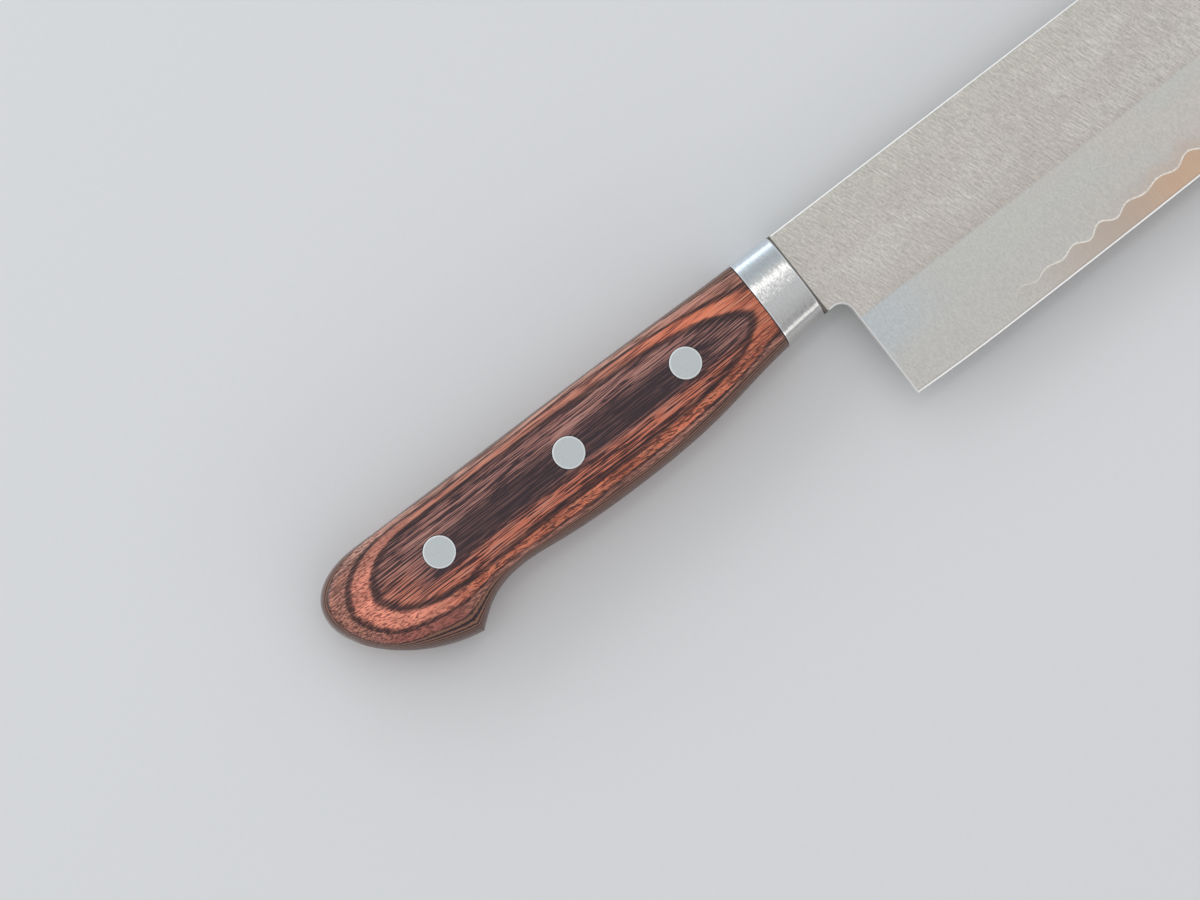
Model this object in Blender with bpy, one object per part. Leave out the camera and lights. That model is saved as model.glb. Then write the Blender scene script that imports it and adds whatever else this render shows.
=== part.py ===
"""Nakiri, a Japanese vegetable knife, lying on its left side.

A forged blade with a hidden tang, a drawn ferrule, two laminated wood scales and three two-piece
compression rivets. The knife is worked out in its own frame: X runs along the knife towards the tip and
is zero at the front face of the ferrule, Y points from the cutting edge to the spine and is zero near the
top of the ferrule, and Z is zero at the middle of the blade's thickness. An empty then stands it on its
lowest point.
"""

import math

import bmesh
import bpy
import numpy as np

MM = 0.001

# Clearances between pieces
GAP = 0.3 * MM
SEAM = 0.3 * MM

# Blade outline
BLADE_LENGTH = 165.0 * MM
NECK_LENGTH = 5.3 * MM
NECK_DEPTH = 19.6 * MM
NECK_FILLET = 2.6 * MM
SPINE_START = 0.4 * MM
SPINE_FALL = 0.4 * MM
EDGE_DEPTH = 45.2 * MM
EDGE_LOWEST = 28.0 * MM
HEEL_LIFT = 0.6 * MM
HEEL_LIFT_LENGTH = 24.0 * MM
HEEL_LIFT_POWER = 2.0
TIP_LIFT = 3.7 * MM
TIP_LIFT_POWER = 2.7
TIP_ROUND = 13.0 * MM
TIP_EDGE_ROUND = 2.5 * MM

# Blade section
SPINE_THICKNESS = 2.0 * MM
TIP_THICKNESS = 1.5 * MM
BEVEL_TOP = 24.8 * MM
EDGE_SHOULDER = 0.4 * MM
ARRIS = 0.45 * MM
ARRIS_DROP = 0.35 * MM
MOST_ARRIS = 0.7

# Tang
TANG_FRONT_WIDTH = 12.4 * MM
TANG_BACK_WIDTH = 10.0 * MM
TANG_PAST_RIVET = 9.0 * MM
TANG_THICKNESS = 2.0 * MM
TANG_CORNER = 1.5 * MM

# Handle outline, seen along Z
HANDLE_LENGTH = 121.1 * MM
BUTT_REACH = 14.0 * MM
BUTT_POWER = 2.3
NOSE_DEPTH = 7.8 * MM
HEEL_OF_HAND_REACH = 27.0 * MM
HEEL_OF_HAND_DEPTH = 20.6 * MM
HEEL_OF_HAND_POWER = 1.68
HOOK_FROM_BUTT = 24.7 * MM
MIDDLE_DEPTH = 10.0 * MM

# Heights of the spine side, by the share of the way from the ferrule's front to the butt
SPINE_SIDE = (
    (0.0, 0.34 * MM),
    (0.09, 0.36 * MM),
    (0.39, 1.0 * MM),
    (0.74, 1.4 * MM),
    (1.0, 1.75 * MM),
)

# Depths of the belly, by the share of the way from the hook to the ferrule's front
BELLY_SIDE = (
    (0.046, 24.9 * MM),
    (0.103, 22.7 * MM),
    (0.254, 23.1 * MM),
    (0.47, 24.2 * MM),
    (0.687, 23.2 * MM),
    (0.855, 20.75 * MM),
    (1.0, 19.55 * MM),
)

# Handle section
HANDLE_HALF = 8.6 * MM
FRONT_THINNING = 0.95 * MM
FRONT_THINNING_LENGTH = 60.0 * MM
SPINE_CROWN = 1.8 * MM
SPINE_CROWN_WIDTH = 8.6 * MM
BELLY_CROWN = 3.4 * MM
BELLY_CROWN_WIDTH = 10.0 * MM
CROWN_BLEND = 10.0 * MM
EDGE_ROUND = 3.0 * MM
HOOK_EDGE_ROUND = 1.4 * MM
HOOK_EDGE_LENGTH = 14.0 * MM
EDGE_POWER = 3.0

# Ferrule
FERRULE_LENGTH = 9.8 * MM
FERRULE_WALL = 0.6 * MM
FERRULE_FRONT_WALL = 0.8 * MM
FERRULE_PROUD = 0.1 * MM
FERRULE_ROUND = 0.4 * MM

# Rivets: the front one is set from the ferrule's front, the back one from the butt
FRONT_RIVET_BEHIND = 29.85 * MM
BACK_RIVET_FROM_BUTT = 27.05 * MM
MIDDLE_RIVET_SHARE = 0.4755
FRONT_RIVET_DEPTH = 10.6 * MM
BACK_RIVET_DEPTH = 10.4 * MM
RIVET_HEAD = 7.0 * MM
RIVET_HEAD_THICKNESS = 1.2 * MM
RIVET_SLEEVE = 5.0 * MM
RIVET_STUD = 2.9 * MM
RIVET_ARRIS = 0.12 * MM

# Fineness of the meshes
STATION_STEP = 4.5 * MM
HOOK_STATION_STEP = 1.1 * MM
FAN_STEPS = 20
OUTLINE_STEPS = 400
ROUND_STEPS = 7
FACE_STEPS = 3
RIVET_SIDES = 36
ARC_STEPS = 8
EDGE_STEPS = 22
EDGE_CROWDING = 1.35

BUTT_X = -HANDLE_LENGTH
HOOK_X = BUTT_X + HOOK_FROM_BUTT
FAN_X = BUTT_X + BUTT_REACH
SHOULDER_X = -FERRULE_LENGTH - GAP
CHOIL_X = NECK_LENGTH
TIP_X = CHOIL_X + BLADE_LENGTH
SPIGOT_INSET = FERRULE_WALL + GAP - FERRULE_PROUD
FRONT_RIVET = (-FRONT_RIVET_BEHIND, -FRONT_RIVET_DEPTH)
BACK_RIVET = (BUTT_X + BACK_RIVET_FROM_BUTT, -BACK_RIVET_DEPTH)
FAR = 40.0 * MM
MERGE = 1e-7


def material(name, colour, roughness, metallic):
    """A plain Principled BSDF material."""
    made = bpy.data.materials.new(name)
    made.use_nodes = True
    shader = made.node_tree.nodes["Principled BSDF"]
    shader.inputs["Base Color"].default_value = (*colour, 1.0)
    shader.inputs["Roughness"].default_value = roughness
    shader.inputs["Metallic"].default_value = metallic
    made.diffuse_color = (*colour, 1.0)
    return made


def natural_spline(knots, at):
    """Heights at the places `at` of the natural cubic spline through (place, height) knots."""
    place, height = np.array(sorted(knots)).T
    step = np.diff(place)
    slope = np.diff(height) / step
    system = np.eye(len(place))
    bend = np.zeros(len(place))
    for k in range(1, len(place) - 1):
        system[k, k - 1 : k + 2] = step[k - 1], 2 * (step[k - 1] + step[k]), step[k]
        bend[k] = 6 * (slope[k] - slope[k - 1])
    bend = np.linalg.solve(system, bend)
    k = np.clip(np.searchsorted(place, at) - 1, 0, len(step) - 1)
    past = at - place[k]
    ahead = place[k + 1] - at
    cubic = (bend[k] * ahead**3 + bend[k + 1] * past**3) / (6 * step[k])
    from_left = (height[k] / step[k] - bend[k] * step[k] / 6) * ahead
    from_right = (height[k + 1] / step[k] - bend[k + 1] * step[k] / 6) * past
    return cubic + from_left + from_right


def quarter(angle, width, height, power):
    """A point of a quarter superellipse, from (width, 0) at angle 0 to (0, height) at a right angle."""
    return width * np.cos(angle) ** (2 / power), height * np.sin(angle) ** (2 / power)


def smooth_step(share):
    """A share that leaves 0 and reaches 1 without a bend."""
    share = np.clip(share, 0, 1)
    return share * share * (3 - 2 * share)


def spine_side(x):
    """The handle's outline along the spine, in front of the butt."""
    return natural_spline([(share * FAN_X, height) for share, height in SPINE_SIDE], x)


def heel_of_hand(x):
    """The outline below the nose of the butt, as far as the hook."""
    centre = BUTT_X + HEEL_OF_HAND_REACH
    share = np.clip((centre - x) / HEEL_OF_HAND_REACH, 0, 1)
    left = (1 - share**HEEL_OF_HAND_POWER) ** (1 / HEEL_OF_HAND_POWER)
    return -NOSE_DEPTH - HEEL_OF_HAND_DEPTH * left


def belly_side(x):
    """The handle's outline along the belly: swell, finger hollow, hook and heel of the hand."""
    hook = [(HOOK_X, float(heel_of_hand(HOOK_X)))]
    grip = [(HOOK_X * (1 - share), -depth) for share, depth in BELLY_SIDE]
    return np.where(x < HOOK_X, heel_of_hand(x), natural_spline(hook + grip, x))


def fan_outline(steps):
    """The outline round the butt, from the spine side to the heel of the hand, both at FAN_X."""
    upper = np.linspace(math.pi / 2, 0, steps // 2)
    top = spine_side(FAN_X) + NOSE_DEPTH
    x_up, y_up = quarter(upper, BUTT_REACH, top, BUTT_POWER)
    left = (HEEL_OF_HAND_REACH - BUTT_REACH) / HEEL_OF_HAND_REACH
    last = math.acos(left ** (HEEL_OF_HAND_POWER / 2))
    lower = np.linspace(0, last, steps - steps // 2 + 1)[1:]
    x_down, y_down = quarter(lower, HEEL_OF_HAND_REACH, HEEL_OF_HAND_DEPTH, HEEL_OF_HAND_POWER)
    x = np.concatenate([FAN_X - x_up, BUTT_X + HEEL_OF_HAND_REACH - x_down])
    y = np.concatenate([y_up, -y_down]) - NOSE_DEPTH
    return np.stack([x, y], axis=1)


def dense_outline():
    """The outline as a fine line that runs on past the ferrule, for measuring distances to it."""
    x = np.linspace(GAP, FAN_X, OUTLINE_STEPS)
    upper = np.stack([x, spine_side(x)], axis=1)
    lower = np.stack([x, belly_side(x)], axis=1)[::-1]
    return np.concatenate([upper, fan_outline(OUTLINE_STEPS // 2)[1:-1], lower])


def distance_inside(points):
    """The distance from each point to the handle's outline."""
    line = dense_outline()
    start, along = line[:-1], np.diff(line, axis=0)
    away = points[:, None, :] - start[None, :, :]
    share = np.clip((away * along).sum(axis=2) / (along**2).sum(axis=1), 0, 1)
    return np.linalg.norm(away - share[:, :, None] * along, axis=2).min(axis=1)


def centre_half(x):
    """Half the handle's thickness on its middle line: even from the butt, and thinner towards the ferrule."""
    share = np.clip(1 + x / FRONT_THINNING_LENGTH, 0, 1)
    return HANDLE_HALF - FRONT_THINNING * share**2


def handle_height(points):
    """Height of the scale's face above the blade's middle plane.

    The face is flat along the middle, falls away as a parabola of the distance to the outline, more on the
    belly than on the spine side, and ends in a superelliptic edge, which is tighter in the hook.
    """
    x, y = points[:, 0], points[:, 1]
    inside = distance_inside(points)
    to_spine = smooth_step((y + MIDDLE_DEPTH) / CROWN_BLEND + 0.5)
    crown = BELLY_CROWN + (SPINE_CROWN - BELLY_CROWN) * to_spine
    width = BELLY_CROWN_WIDTH + (SPINE_CROWN_WIDTH - BELLY_CROWN_WIDTH) * to_spine
    face = centre_half(x) - crown * np.clip(1 - inside / width, 0, 1) ** 2
    from_hook = np.abs(x - HOOK_X - HOOK_EDGE_LENGTH / 2) / HOOK_EDGE_LENGTH
    in_hook = (1 - smooth_step(from_hook)) * (1 - to_spine)
    edge = EDGE_ROUND + (HOOK_EDGE_ROUND - EDGE_ROUND) * in_hook
    left = np.clip(1 - inside / edge, 0, 1)
    return face * (1 - left**EDGE_POWER) ** (1 / EDGE_POWER)


def ring_shares():
    """How far each ring of the edge lies inside the outline, as shares of the edge's width."""
    angle = np.linspace(0, math.pi / 2, ROUND_STEPS)
    return 1 - np.cos(angle) ** (2 / EDGE_POWER)


def rings_towards(start, goal):
    """Points from each outline point to its goal: the rings of the edge, then even steps across the face."""
    way = goal - start
    length = np.linalg.norm(way, axis=1, keepdims=True)
    edge = EDGE_ROUND * ring_shares()[None, :]
    rest = np.linspace(0, 1, FACE_STEPS + 1)[None, 1:]
    edge = np.broadcast_to(edge, (len(start), ROUND_STEPS))
    reach = np.concatenate([edge, EDGE_ROUND + (length - EDGE_ROUND) * rest], axis=1)
    return start[:, None, :] + (reach / length)[:, :, None] * way[:, None, :]


def stations():
    """Places along the handle from the ferrule to the butt's fan, closer together in the hook."""
    fine_start = HOOK_X + HOOK_EDGE_LENGTH
    calm = np.linspace(SHOULDER_X, fine_start, 1 + math.ceil((SHOULDER_X - fine_start) / STATION_STEP))
    hook = np.linspace(fine_start, HOOK_X, 1 + math.ceil((fine_start - HOOK_X) / HOOK_STATION_STEP))
    heel = np.linspace(HOOK_X, FAN_X, 1 + math.ceil(2 * (HOOK_X - FAN_X) / STATION_STEP))
    return np.concatenate([calm, hook[1:], heel[1:]])


def scale_grid():
    """Points (outline, ring, XYZ) of a scale's outer surface, from the seam round the edge to the middle."""
    x = stations()
    upper = np.stack([x, spine_side(x)], axis=1)
    lower = np.stack([x, belly_side(x)], axis=1)[::-1]
    fan = fan_outline(FAN_STEPS)[1:-1]
    middle = np.stack([x, np.full_like(x, -MIDDLE_DEPTH)], axis=1)
    goal = np.concatenate([middle, np.repeat(middle[-1:], len(fan), axis=0), middle[::-1]])
    flat = rings_towards(np.concatenate([upper, fan, lower]), goal)
    height = handle_height(flat.reshape(-1, 2)).reshape(flat.shape[:2])
    height[:, 0] = SEAM / 2
    return np.concatenate([flat, np.maximum(height, SEAM / 2)[:, :, None]], axis=2)


def section(x, grow):
    """Half section of the handle at x, from the spine round the face to the belly, grown by a margin."""
    ends = np.array([[x, float(spine_side(x))], [x, float(belly_side(x))]])
    middle = np.array([[x, -MIDDLE_DEPTH]] * 2)
    upper, lower = rings_towards(ends, middle)
    flat = np.concatenate([upper, lower[::-1][1:]])
    height = handle_height(flat)
    height[0] = height[-1] = 0
    centre = (ends[0, 1] + ends[1, 1]) / 2
    half_depth = (ends[0, 1] - ends[1, 1]) / 2
    y = centre + (flat[:, 1] - centre) * (1 + grow / half_depth)
    z = height * (1 + grow / float(centre_half(x)))
    return np.stack([np.full_like(y, x), y, z], axis=1)


def full_section(x, grow):
    """Closed section of the handle at x: the upper half and its mirror image."""
    upper = section(x, grow)
    lower = upper[::-1][1:-1] * (1, 1, -1)
    return np.concatenate([upper, lower])


def moved_to(points, x):
    """The same points in the plane at x."""
    moved = points.copy()
    moved[:, 0] = x
    return moved


def new_object(name, shape, look, parent, smooth_angle=None):
    """Puts a finished bmesh into the scene as one named piece of the knife."""
    mesh = bpy.data.meshes.new(name)
    bmesh.ops.recalc_face_normals(shape, faces=shape.faces)
    shape.to_mesh(mesh)
    shape.free()
    if smooth_angle is not None:
        mesh.shade_smooth()
        mesh.set_sharp_from_angle(angle=smooth_angle)
    made = bpy.data.objects.new(name, mesh)
    bpy.context.scene.collection.objects.link(made)
    made.parent = parent
    if look is None:
        made.hide_render = True
        made.display_type = "WIRE"
    else:
        mesh.materials.append(look)
    return made


def cut(piece, cutter):
    """Takes the cutter's shape out of a piece."""
    modifier = piece.modifiers.new("Cut " + cutter.name, "BOOLEAN")
    modifier.operation = "DIFFERENCE"
    modifier.solver = "EXACT"
    modifier.object = cutter


def loft(shape, rows, closed):
    """Quads between neighbouring rows of points, each row closed into a loop or left open."""
    made = [[shape.verts.new(point) for point in row] for row in rows]
    count = len(made[0])
    for first, second in zip(made, made[1:]):
        for k in range(count if closed else count - 1):
            after = (k + 1) % count
            shape.faces.new((first[k], first[after], second[after], second[k]))
    return made


def spine_line(x):
    """The blade's spine, which falls a little towards the tip."""
    return SPINE_START - SPINE_FALL * x / TIP_X


def edge_line(x):
    """The cutting edge: straight in the middle, lifted at the heel and in a long curve at the tip."""
    heel = HEEL_LIFT * np.clip(1 - (x - CHOIL_X) / HEEL_LIFT_LENGTH, 0, 1) ** HEEL_LIFT_POWER
    ahead = np.clip((x - EDGE_LOWEST) / (TIP_X - EDGE_LOWEST), 0, 1)
    return -EDGE_DEPTH + heel + TIP_LIFT * ahead**TIP_LIFT_POWER


def tang_corners(margin):
    """Heights of the tang's four corners from the front over the back, and the place of its end."""
    end = BACK_RIVET[0] - TANG_PAST_RIVET - margin
    front_half = TANG_FRONT_WIDTH / 2 + margin
    back_half = TANG_BACK_WIDTH / 2 + margin
    front_y, back_y = FRONT_RIVET[1], BACK_RIVET[1]
    return front_y + front_half, back_y + back_half, back_y - back_half, front_y - front_half, end


def arc(centre, radius, start, stop):
    """Points of an arc, its angles in degrees."""
    angle = np.radians(np.linspace(start, stop, ARC_STEPS + 1))
    return np.stack([centre[0] + radius * np.cos(angle), centre[1] + radius * np.sin(angle)], axis=1)


def blade_outline():
    """The blade, neck and tang seen along Z, anticlockwise from the tang's shoulder on the belly side."""
    top_front, top_back, low_back, low_front, end = tang_corners(0)
    shoulder = GAP
    tang_low = [(shoulder, low_front), (shoulder, -NECK_DEPTH)]
    fillet = min(NECK_FILLET, CHOIL_X - 2 * shoulder)
    neck = arc((CHOIL_X - fillet, -NECK_DEPTH - fillet), fillet, 90, 0)
    last = TIP_X - TIP_EDGE_ROUND
    edge_x = CHOIL_X + (last - CHOIL_X) * np.linspace(0, 1, EDGE_STEPS) ** EDGE_CROWDING
    edge = np.stack([edge_x, edge_line(edge_x)], axis=1)
    corner = arc((last, float(edge_line(last)) + TIP_EDGE_ROUND), TIP_EDGE_ROUND, -90, 0)[1:]
    round_x = TIP_X - TIP_ROUND
    tip = arc((round_x, spine_line(round_x) - TIP_ROUND), TIP_ROUND, 0, 90)
    tang_top = [(shoulder, spine_line(shoulder)), (shoulder, top_front)]
    back = [
        (end + TANG_CORNER, top_back),
        (end, top_back - TANG_CORNER),
        (end, low_back + TANG_CORNER),
        (end + TANG_CORNER, low_back),
    ]
    return [tuple(point) for part in (tang_low, neck, edge, corner, tip, tang_top, back) for point in part]


def blade_half(x, y):
    """Half the blade's thickness: a tapering flat, and a straight bevel below its top line."""
    if x < GAP:
        return TANG_THICKNESS / 2
    flat = (SPINE_THICKNESS + (TIP_THICKNESS - SPINE_THICKNESS) * x / TIP_X) / 2
    if y > -BEVEL_TOP:
        return flat
    bottom = float(edge_line(np.array(x)))
    share = max(y - bottom - ARRIS, 0) / (-BEVEL_TOP - bottom - ARRIS)
    return EDGE_SHOULDER / 2 + (flat - EDGE_SHOULDER / 2) * share


def split(shape, point, normal):
    """Cuts every face along a plane, and keeps both sides."""
    everything = shape.verts[:] + shape.edges[:] + shape.faces[:]
    bmesh.ops.bisect_plane(shape, geom=everything, plane_co=point, plane_no=normal, dist=MERGE)


def build_blade(look, parent):
    """The outline is a face that is inset for the arrises, cut along the bevels, lifted and mirrored."""
    shape = bmesh.new()
    corners = [shape.verts.new((x, y, 0)) for x, y in blade_outline()]
    face = shape.faces.new(corners)
    face.normal_update()
    bmesh.ops.inset_region(
        shape,
        faces=[face],
        thickness=ARRIS,
        use_boundary=True,
        use_even_offset=True,
    )
    split(shape, (0, -BEVEL_TOP, 0), (0, 1, 0))
    for x in (GAP, *np.linspace(CHOIL_X, TIP_X, EDGE_STEPS)[1:-1]):
        split(shape, (x, 0, 0), (1, 0, 0))
    rim = {vert for edge in shape.edges if edge.is_boundary for vert in edge.verts}
    for vert in shape.verts:
        x, y = vert.co.x, vert.co.y
        half = blade_half(x, y)
        on_edge = x >= CHOIL_X - MERGE and y < float(edge_line(np.array(x))) + ARRIS / 4
        if vert in rim:
            half = 0 if on_edge else half - min(ARRIS_DROP, half * MOST_ARRIS)
        vert.co.z = half
    under = bmesh.ops.duplicate(shape, geom=shape.verts[:] + shape.edges[:] + shape.faces[:])["geom"]
    for vert in (item for item in under if isinstance(item, bmesh.types.BMVert)):
        vert.co.z *= -1
    rim_edges = [edge for edge in shape.edges if edge.is_boundary]
    bmesh.ops.bridge_loops(shape, edges=rim_edges)
    bmesh.ops.remove_doubles(shape, verts=shape.verts, dist=MERGE)
    bmesh.ops.dissolve_degenerate(shape, edges=shape.edges, dist=MERGE)
    return new_object("blade", shape, look, parent, math.radians(12))


def build_scale(name, side, look, parent):
    """One wood scale: the lofted outer surface, the spigot that the ferrule covers and the flat seam face."""
    grid = scale_grid()
    shape = bmesh.new()
    loft(shape, grid, closed=False)
    front = np.concatenate([grid[0], grid[-1][::-1][1:]])
    inner = section(SHOULDER_X, -SPIGOT_INSET)
    inner[:, 2] = np.maximum(inner[:, 2], SEAM / 2)
    spigot_end = -FERRULE_FRONT_WALL - GAP
    spigot = section(spigot_end, -SPIGOT_INSET)
    spigot[:, 2] = np.maximum(spigot[:, 2], SEAM / 2)
    rows = loft(shape, [front, inner, spigot], closed=False)
    shape.faces.new(rows[-1])
    bmesh.ops.remove_doubles(shape, verts=shape.verts, dist=MERGE)
    open_edges = [edge for edge in shape.edges if edge.is_boundary]
    bmesh.ops.contextual_create(shape, geom=open_edges)
    for vert in shape.verts:
        vert.co.z *= side
    return new_object(name, shape, look, parent, math.radians(40))


def build_ferrule(look, parent):
    """A drawn cup: the outside with its rounded front, then the front wall's inside and the bore."""
    shape = bmesh.new()
    back, front = -FERRULE_LENGTH, 0.0
    grow = FERRULE_PROUD
    outside = [full_section(x, grow) for x in np.linspace(back, front - FERRULE_ROUND, 4)]
    for angle in np.radians((30, 60, 90)):
        inset = FERRULE_ROUND * (1 - math.cos(angle))
        place = front - FERRULE_ROUND * (1 - math.sin(angle))
        outside.append(moved_to(full_section(front, grow - inset), place))
    inside = [full_section(x, grow - FERRULE_WALL) for x in (-FERRULE_FRONT_WALL, back)]
    rows = loft(shape, inside + outside, closed=True)
    shape.faces.new(rows[0])
    shape.faces.new(rows[-1])
    return new_object("ferrule", shape, look, parent, math.radians(35))


def turned(name, profile, look, parent, sides):
    """A round piece: a profile of (radius, height) points turned about Z."""
    shape = bmesh.new()
    verts = [shape.verts.new((radius, 0, height)) for radius, height in profile]
    edges = [shape.edges.new(pair) for pair in zip(verts, verts[1:])]
    bmesh.ops.spin(
        shape,
        geom=verts + edges,
        axis=(0, 0, 1),
        cent=(0, 0, 0),
        angle=math.tau,
        steps=sides,
        use_merge=True,
    )
    bmesh.ops.remove_doubles(shape, verts=shape.verts, dist=MERGE)
    return new_object(name, shape, look, parent, math.radians(35))


def rivet_top(place):
    """Height of a rivet's head, flush with the scale's face."""
    return float(handle_height(np.array([place]))[0])


def sleeve_profile(top):
    """Head, shank and open bore of a rivet's sleeve."""
    head, shank, bore = RIVET_HEAD / 2, RIVET_SLEEVE / 2, RIVET_STUD / 2 + GAP
    under = top - RIVET_HEAD_THICKNESS
    mouth = -under + GAP
    return (
        (0, top),
        (head - RIVET_ARRIS, top),
        (head, top - RIVET_ARRIS),
        (head, under),
        (shank, under),
        (shank, mouth),
        (bore, mouth),
        (bore, under),
        (0, under),
    )


def stud_profile(top):
    """Head and pin of a rivet's stud, standing on its head."""
    head, pin = RIVET_HEAD / 2, RIVET_STUD / 2
    under = top - RIVET_HEAD_THICKNESS
    end = under - GAP
    return (
        (0, -top),
        (head - RIVET_ARRIS, -top),
        (head, -top + RIVET_ARRIS),
        (head, -under),
        (pin, -under),
        (pin, end - RIVET_ARRIS * 2),
        (pin - RIVET_ARRIS * 2, end),
        (0, end),
    )


def hole_profile(top):
    """Through hole for the sleeve, with a seat for the head at each end."""
    through, seat = RIVET_SLEEVE / 2 + GAP, RIVET_HEAD / 2 + GAP
    floor = top - RIVET_HEAD_THICKNESS - GAP
    upper = ((0, FAR), (seat, FAR), (seat, floor), (through, floor))
    lower = tuple((radius, -height) for radius, height in reversed(upper))
    return upper + lower


def bore_profile():
    """Plain hole through the tang."""
    through = RIVET_SLEEVE / 2 + GAP
    return ((0, FAR), (through, FAR), (through, -FAR), (0, -FAR))


def build_tang_pocket(parent):
    """The space that the scales and the ferrule's slot leave for the tang."""
    top_front, top_back, low_back, low_front, end = tang_corners(GAP)
    half = TANG_THICKNESS / 2 + GAP
    shape = bmesh.new()
    ahead = 2 * FERRULE_LENGTH
    outline = ((end, low_back), (ahead, low_front), (ahead, top_front), (end, top_back))
    rows = [[(x, y, z) for x, y in outline] for z in (-half, half)]
    made = loft(shape, rows, closed=True)
    shape.faces.new(made[0])
    shape.faces.new(made[1])
    return new_object("tang_pocket", shape, None, parent)


def lowest_and_highest(pieces):
    """Corners of the box round the pieces, in the knife's own frame."""
    bpy.context.view_layer.update()
    points = []
    for piece in pieces:
        local = np.empty(len(piece.data.vertices) * 3, np.float32)
        piece.data.vertices.foreach_get("co", local)
        points.append(local.reshape(-1, 3) + np.array(piece.location))
    points = np.concatenate(points)
    return points.min(axis=0), points.max(axis=0)


def main():
    for old in list(bpy.data.objects):
        bpy.data.objects.remove(old)
    steel = material("blade_steel", (0.62, 0.60, 0.57), 0.32, 1.0)
    stainless = material("ferrule_stainless", (0.66, 0.66, 0.65), 0.25, 1.0)
    rivet_metal = material("rivet_metal", (0.70, 0.72, 0.70), 0.35, 1.0)
    wood = material("laminated_wood", (0.30, 0.13, 0.09), 0.45, 0.0)

    knife = bpy.data.objects.new("knife", None)
    bpy.context.scene.collection.objects.link(knife)

    blade = build_blade(steel, knife)
    ferrule = build_ferrule(stainless, knife)
    scales = [
        build_scale("handle_scale_right", 1, wood, knife),
        build_scale("handle_scale_left", -1, wood, knife),
    ]
    pocket = build_tang_pocket(knife)
    for piece in (ferrule, *scales):
        cut(piece, pocket)

    rivets = []
    for name, share in (("front", 0), ("middle", MIDDLE_RIVET_SHARE), ("back", 1)):
        place = tuple(a + (b - a) * share for a, b in zip(FRONT_RIVET, BACK_RIVET))
        top = rivet_top(place)
        sleeve = turned(f"rivet_{name}_sleeve", sleeve_profile(top), rivet_metal, knife, RIVET_SIDES)
        stud = turned(f"rivet_{name}_stud", stud_profile(top), rivet_metal, knife, RIVET_SIDES)
        hole = turned(f"rivet_{name}_hole", hole_profile(top), None, knife, RIVET_SIDES)
        bore = turned(f"tang_{name}_bore", bore_profile(), None, knife, RIVET_SIDES)
        for piece in (sleeve, stud, hole, bore):
            piece.location = (*place, 0)
        for scale in scales:
            cut(scale, hole)
        cut(blade, bore)
        rivets += [sleeve, stud]

    low, high = lowest_and_highest([blade, ferrule, *scales, *rivets])
    knife.location = (-(low[0] + high[0]) / 2, -(low[1] + high[1]) / 2, -low[2])
    bpy.context.view_layer.update()


main()
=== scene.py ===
"""Nakiri kitchen knife: the looks of its blade, ferrule, laminated handle and rivets.

Each piece is a surface worked out with numpy in the knife's own frame: X runs from the front face of the
ferrule towards the tip, Y from the cutting edge towards the spine, and Z up from the blade's middle plane.
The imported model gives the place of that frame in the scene.
"""

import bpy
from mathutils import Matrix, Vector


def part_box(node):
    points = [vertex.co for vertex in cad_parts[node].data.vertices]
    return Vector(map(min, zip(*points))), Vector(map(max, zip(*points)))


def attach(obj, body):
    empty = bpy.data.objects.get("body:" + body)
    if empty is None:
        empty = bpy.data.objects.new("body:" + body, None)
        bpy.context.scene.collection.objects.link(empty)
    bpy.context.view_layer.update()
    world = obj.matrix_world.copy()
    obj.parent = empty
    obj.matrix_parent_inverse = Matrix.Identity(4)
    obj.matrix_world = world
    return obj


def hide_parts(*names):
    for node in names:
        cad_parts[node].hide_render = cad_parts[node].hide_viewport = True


bl_info = {
    "name": "Nakiri Knife",
    "version": (1, 0, 0),
    "blender": (4, 5, 0),
    "location": "View3D > Sidebar > Nakiri",
    "description": "Dresses a vegetable knife: ground blade, drawn ferrule, laminated scales, flush rivets",
    "category": "Add Mesh",
}

import math
from functools import cache

import bmesh
import bpy
import numpy as np
from bpy.props import FloatProperty, FloatVectorProperty, PointerProperty
from mathutils import Matrix, Vector

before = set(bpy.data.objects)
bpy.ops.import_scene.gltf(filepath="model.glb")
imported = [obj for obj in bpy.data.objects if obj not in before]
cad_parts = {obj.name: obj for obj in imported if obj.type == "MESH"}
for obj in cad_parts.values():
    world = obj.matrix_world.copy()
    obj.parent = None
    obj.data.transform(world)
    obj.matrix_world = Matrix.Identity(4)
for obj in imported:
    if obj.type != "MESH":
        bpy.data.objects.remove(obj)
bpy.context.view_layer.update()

MM = 0.001
BODY = "root"
BLADE_LOW, BLADE_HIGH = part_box("blade")
FERRULE_LOW, FERRULE_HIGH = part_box("ferrule")
SCALE_LOW, SCALE_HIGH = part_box("handle_scale_right")

# The knife's frame in the scene, and places in it
EDGE_DEPTH = 45.2 * MM
ZERO = np.array([FERRULE_HIGH.x, BLADE_LOW.y + EDGE_DEPTH, (BLADE_LOW.z + BLADE_HIGH.z) / 2])
TIP = BLADE_HIGH.x - ZERO[0]
FERRULE_BACK = float(FERRULE_LOW.x - ZERO[0])
BUTT = SCALE_LOW.x - ZERO[0]
HALF_HANDLE = SCALE_HIGH.z - ZERO[2]

# Where the blade and the handle's outline start, in front of the ferrule
OUTLINE_START = 0.3 * MM

# Blade outline: fall of the spine in mm, lifts of the edge, and radii
SPINE_FALL = 0.4
HEEL_LIFT = 0.6 * MM
HEEL_LIFT_LENGTH = 24 * MM
TIP_LIFT = 3.7 * MM
TIP_LIFT_START = 28 * MM
TIP_LIFT_POWER = 2.7
HEEL_RADIUS = 0.2 * MM
LOWER_CORNER = 2.5 * MM
UPPER_CORNER = 13 * MM

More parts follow.
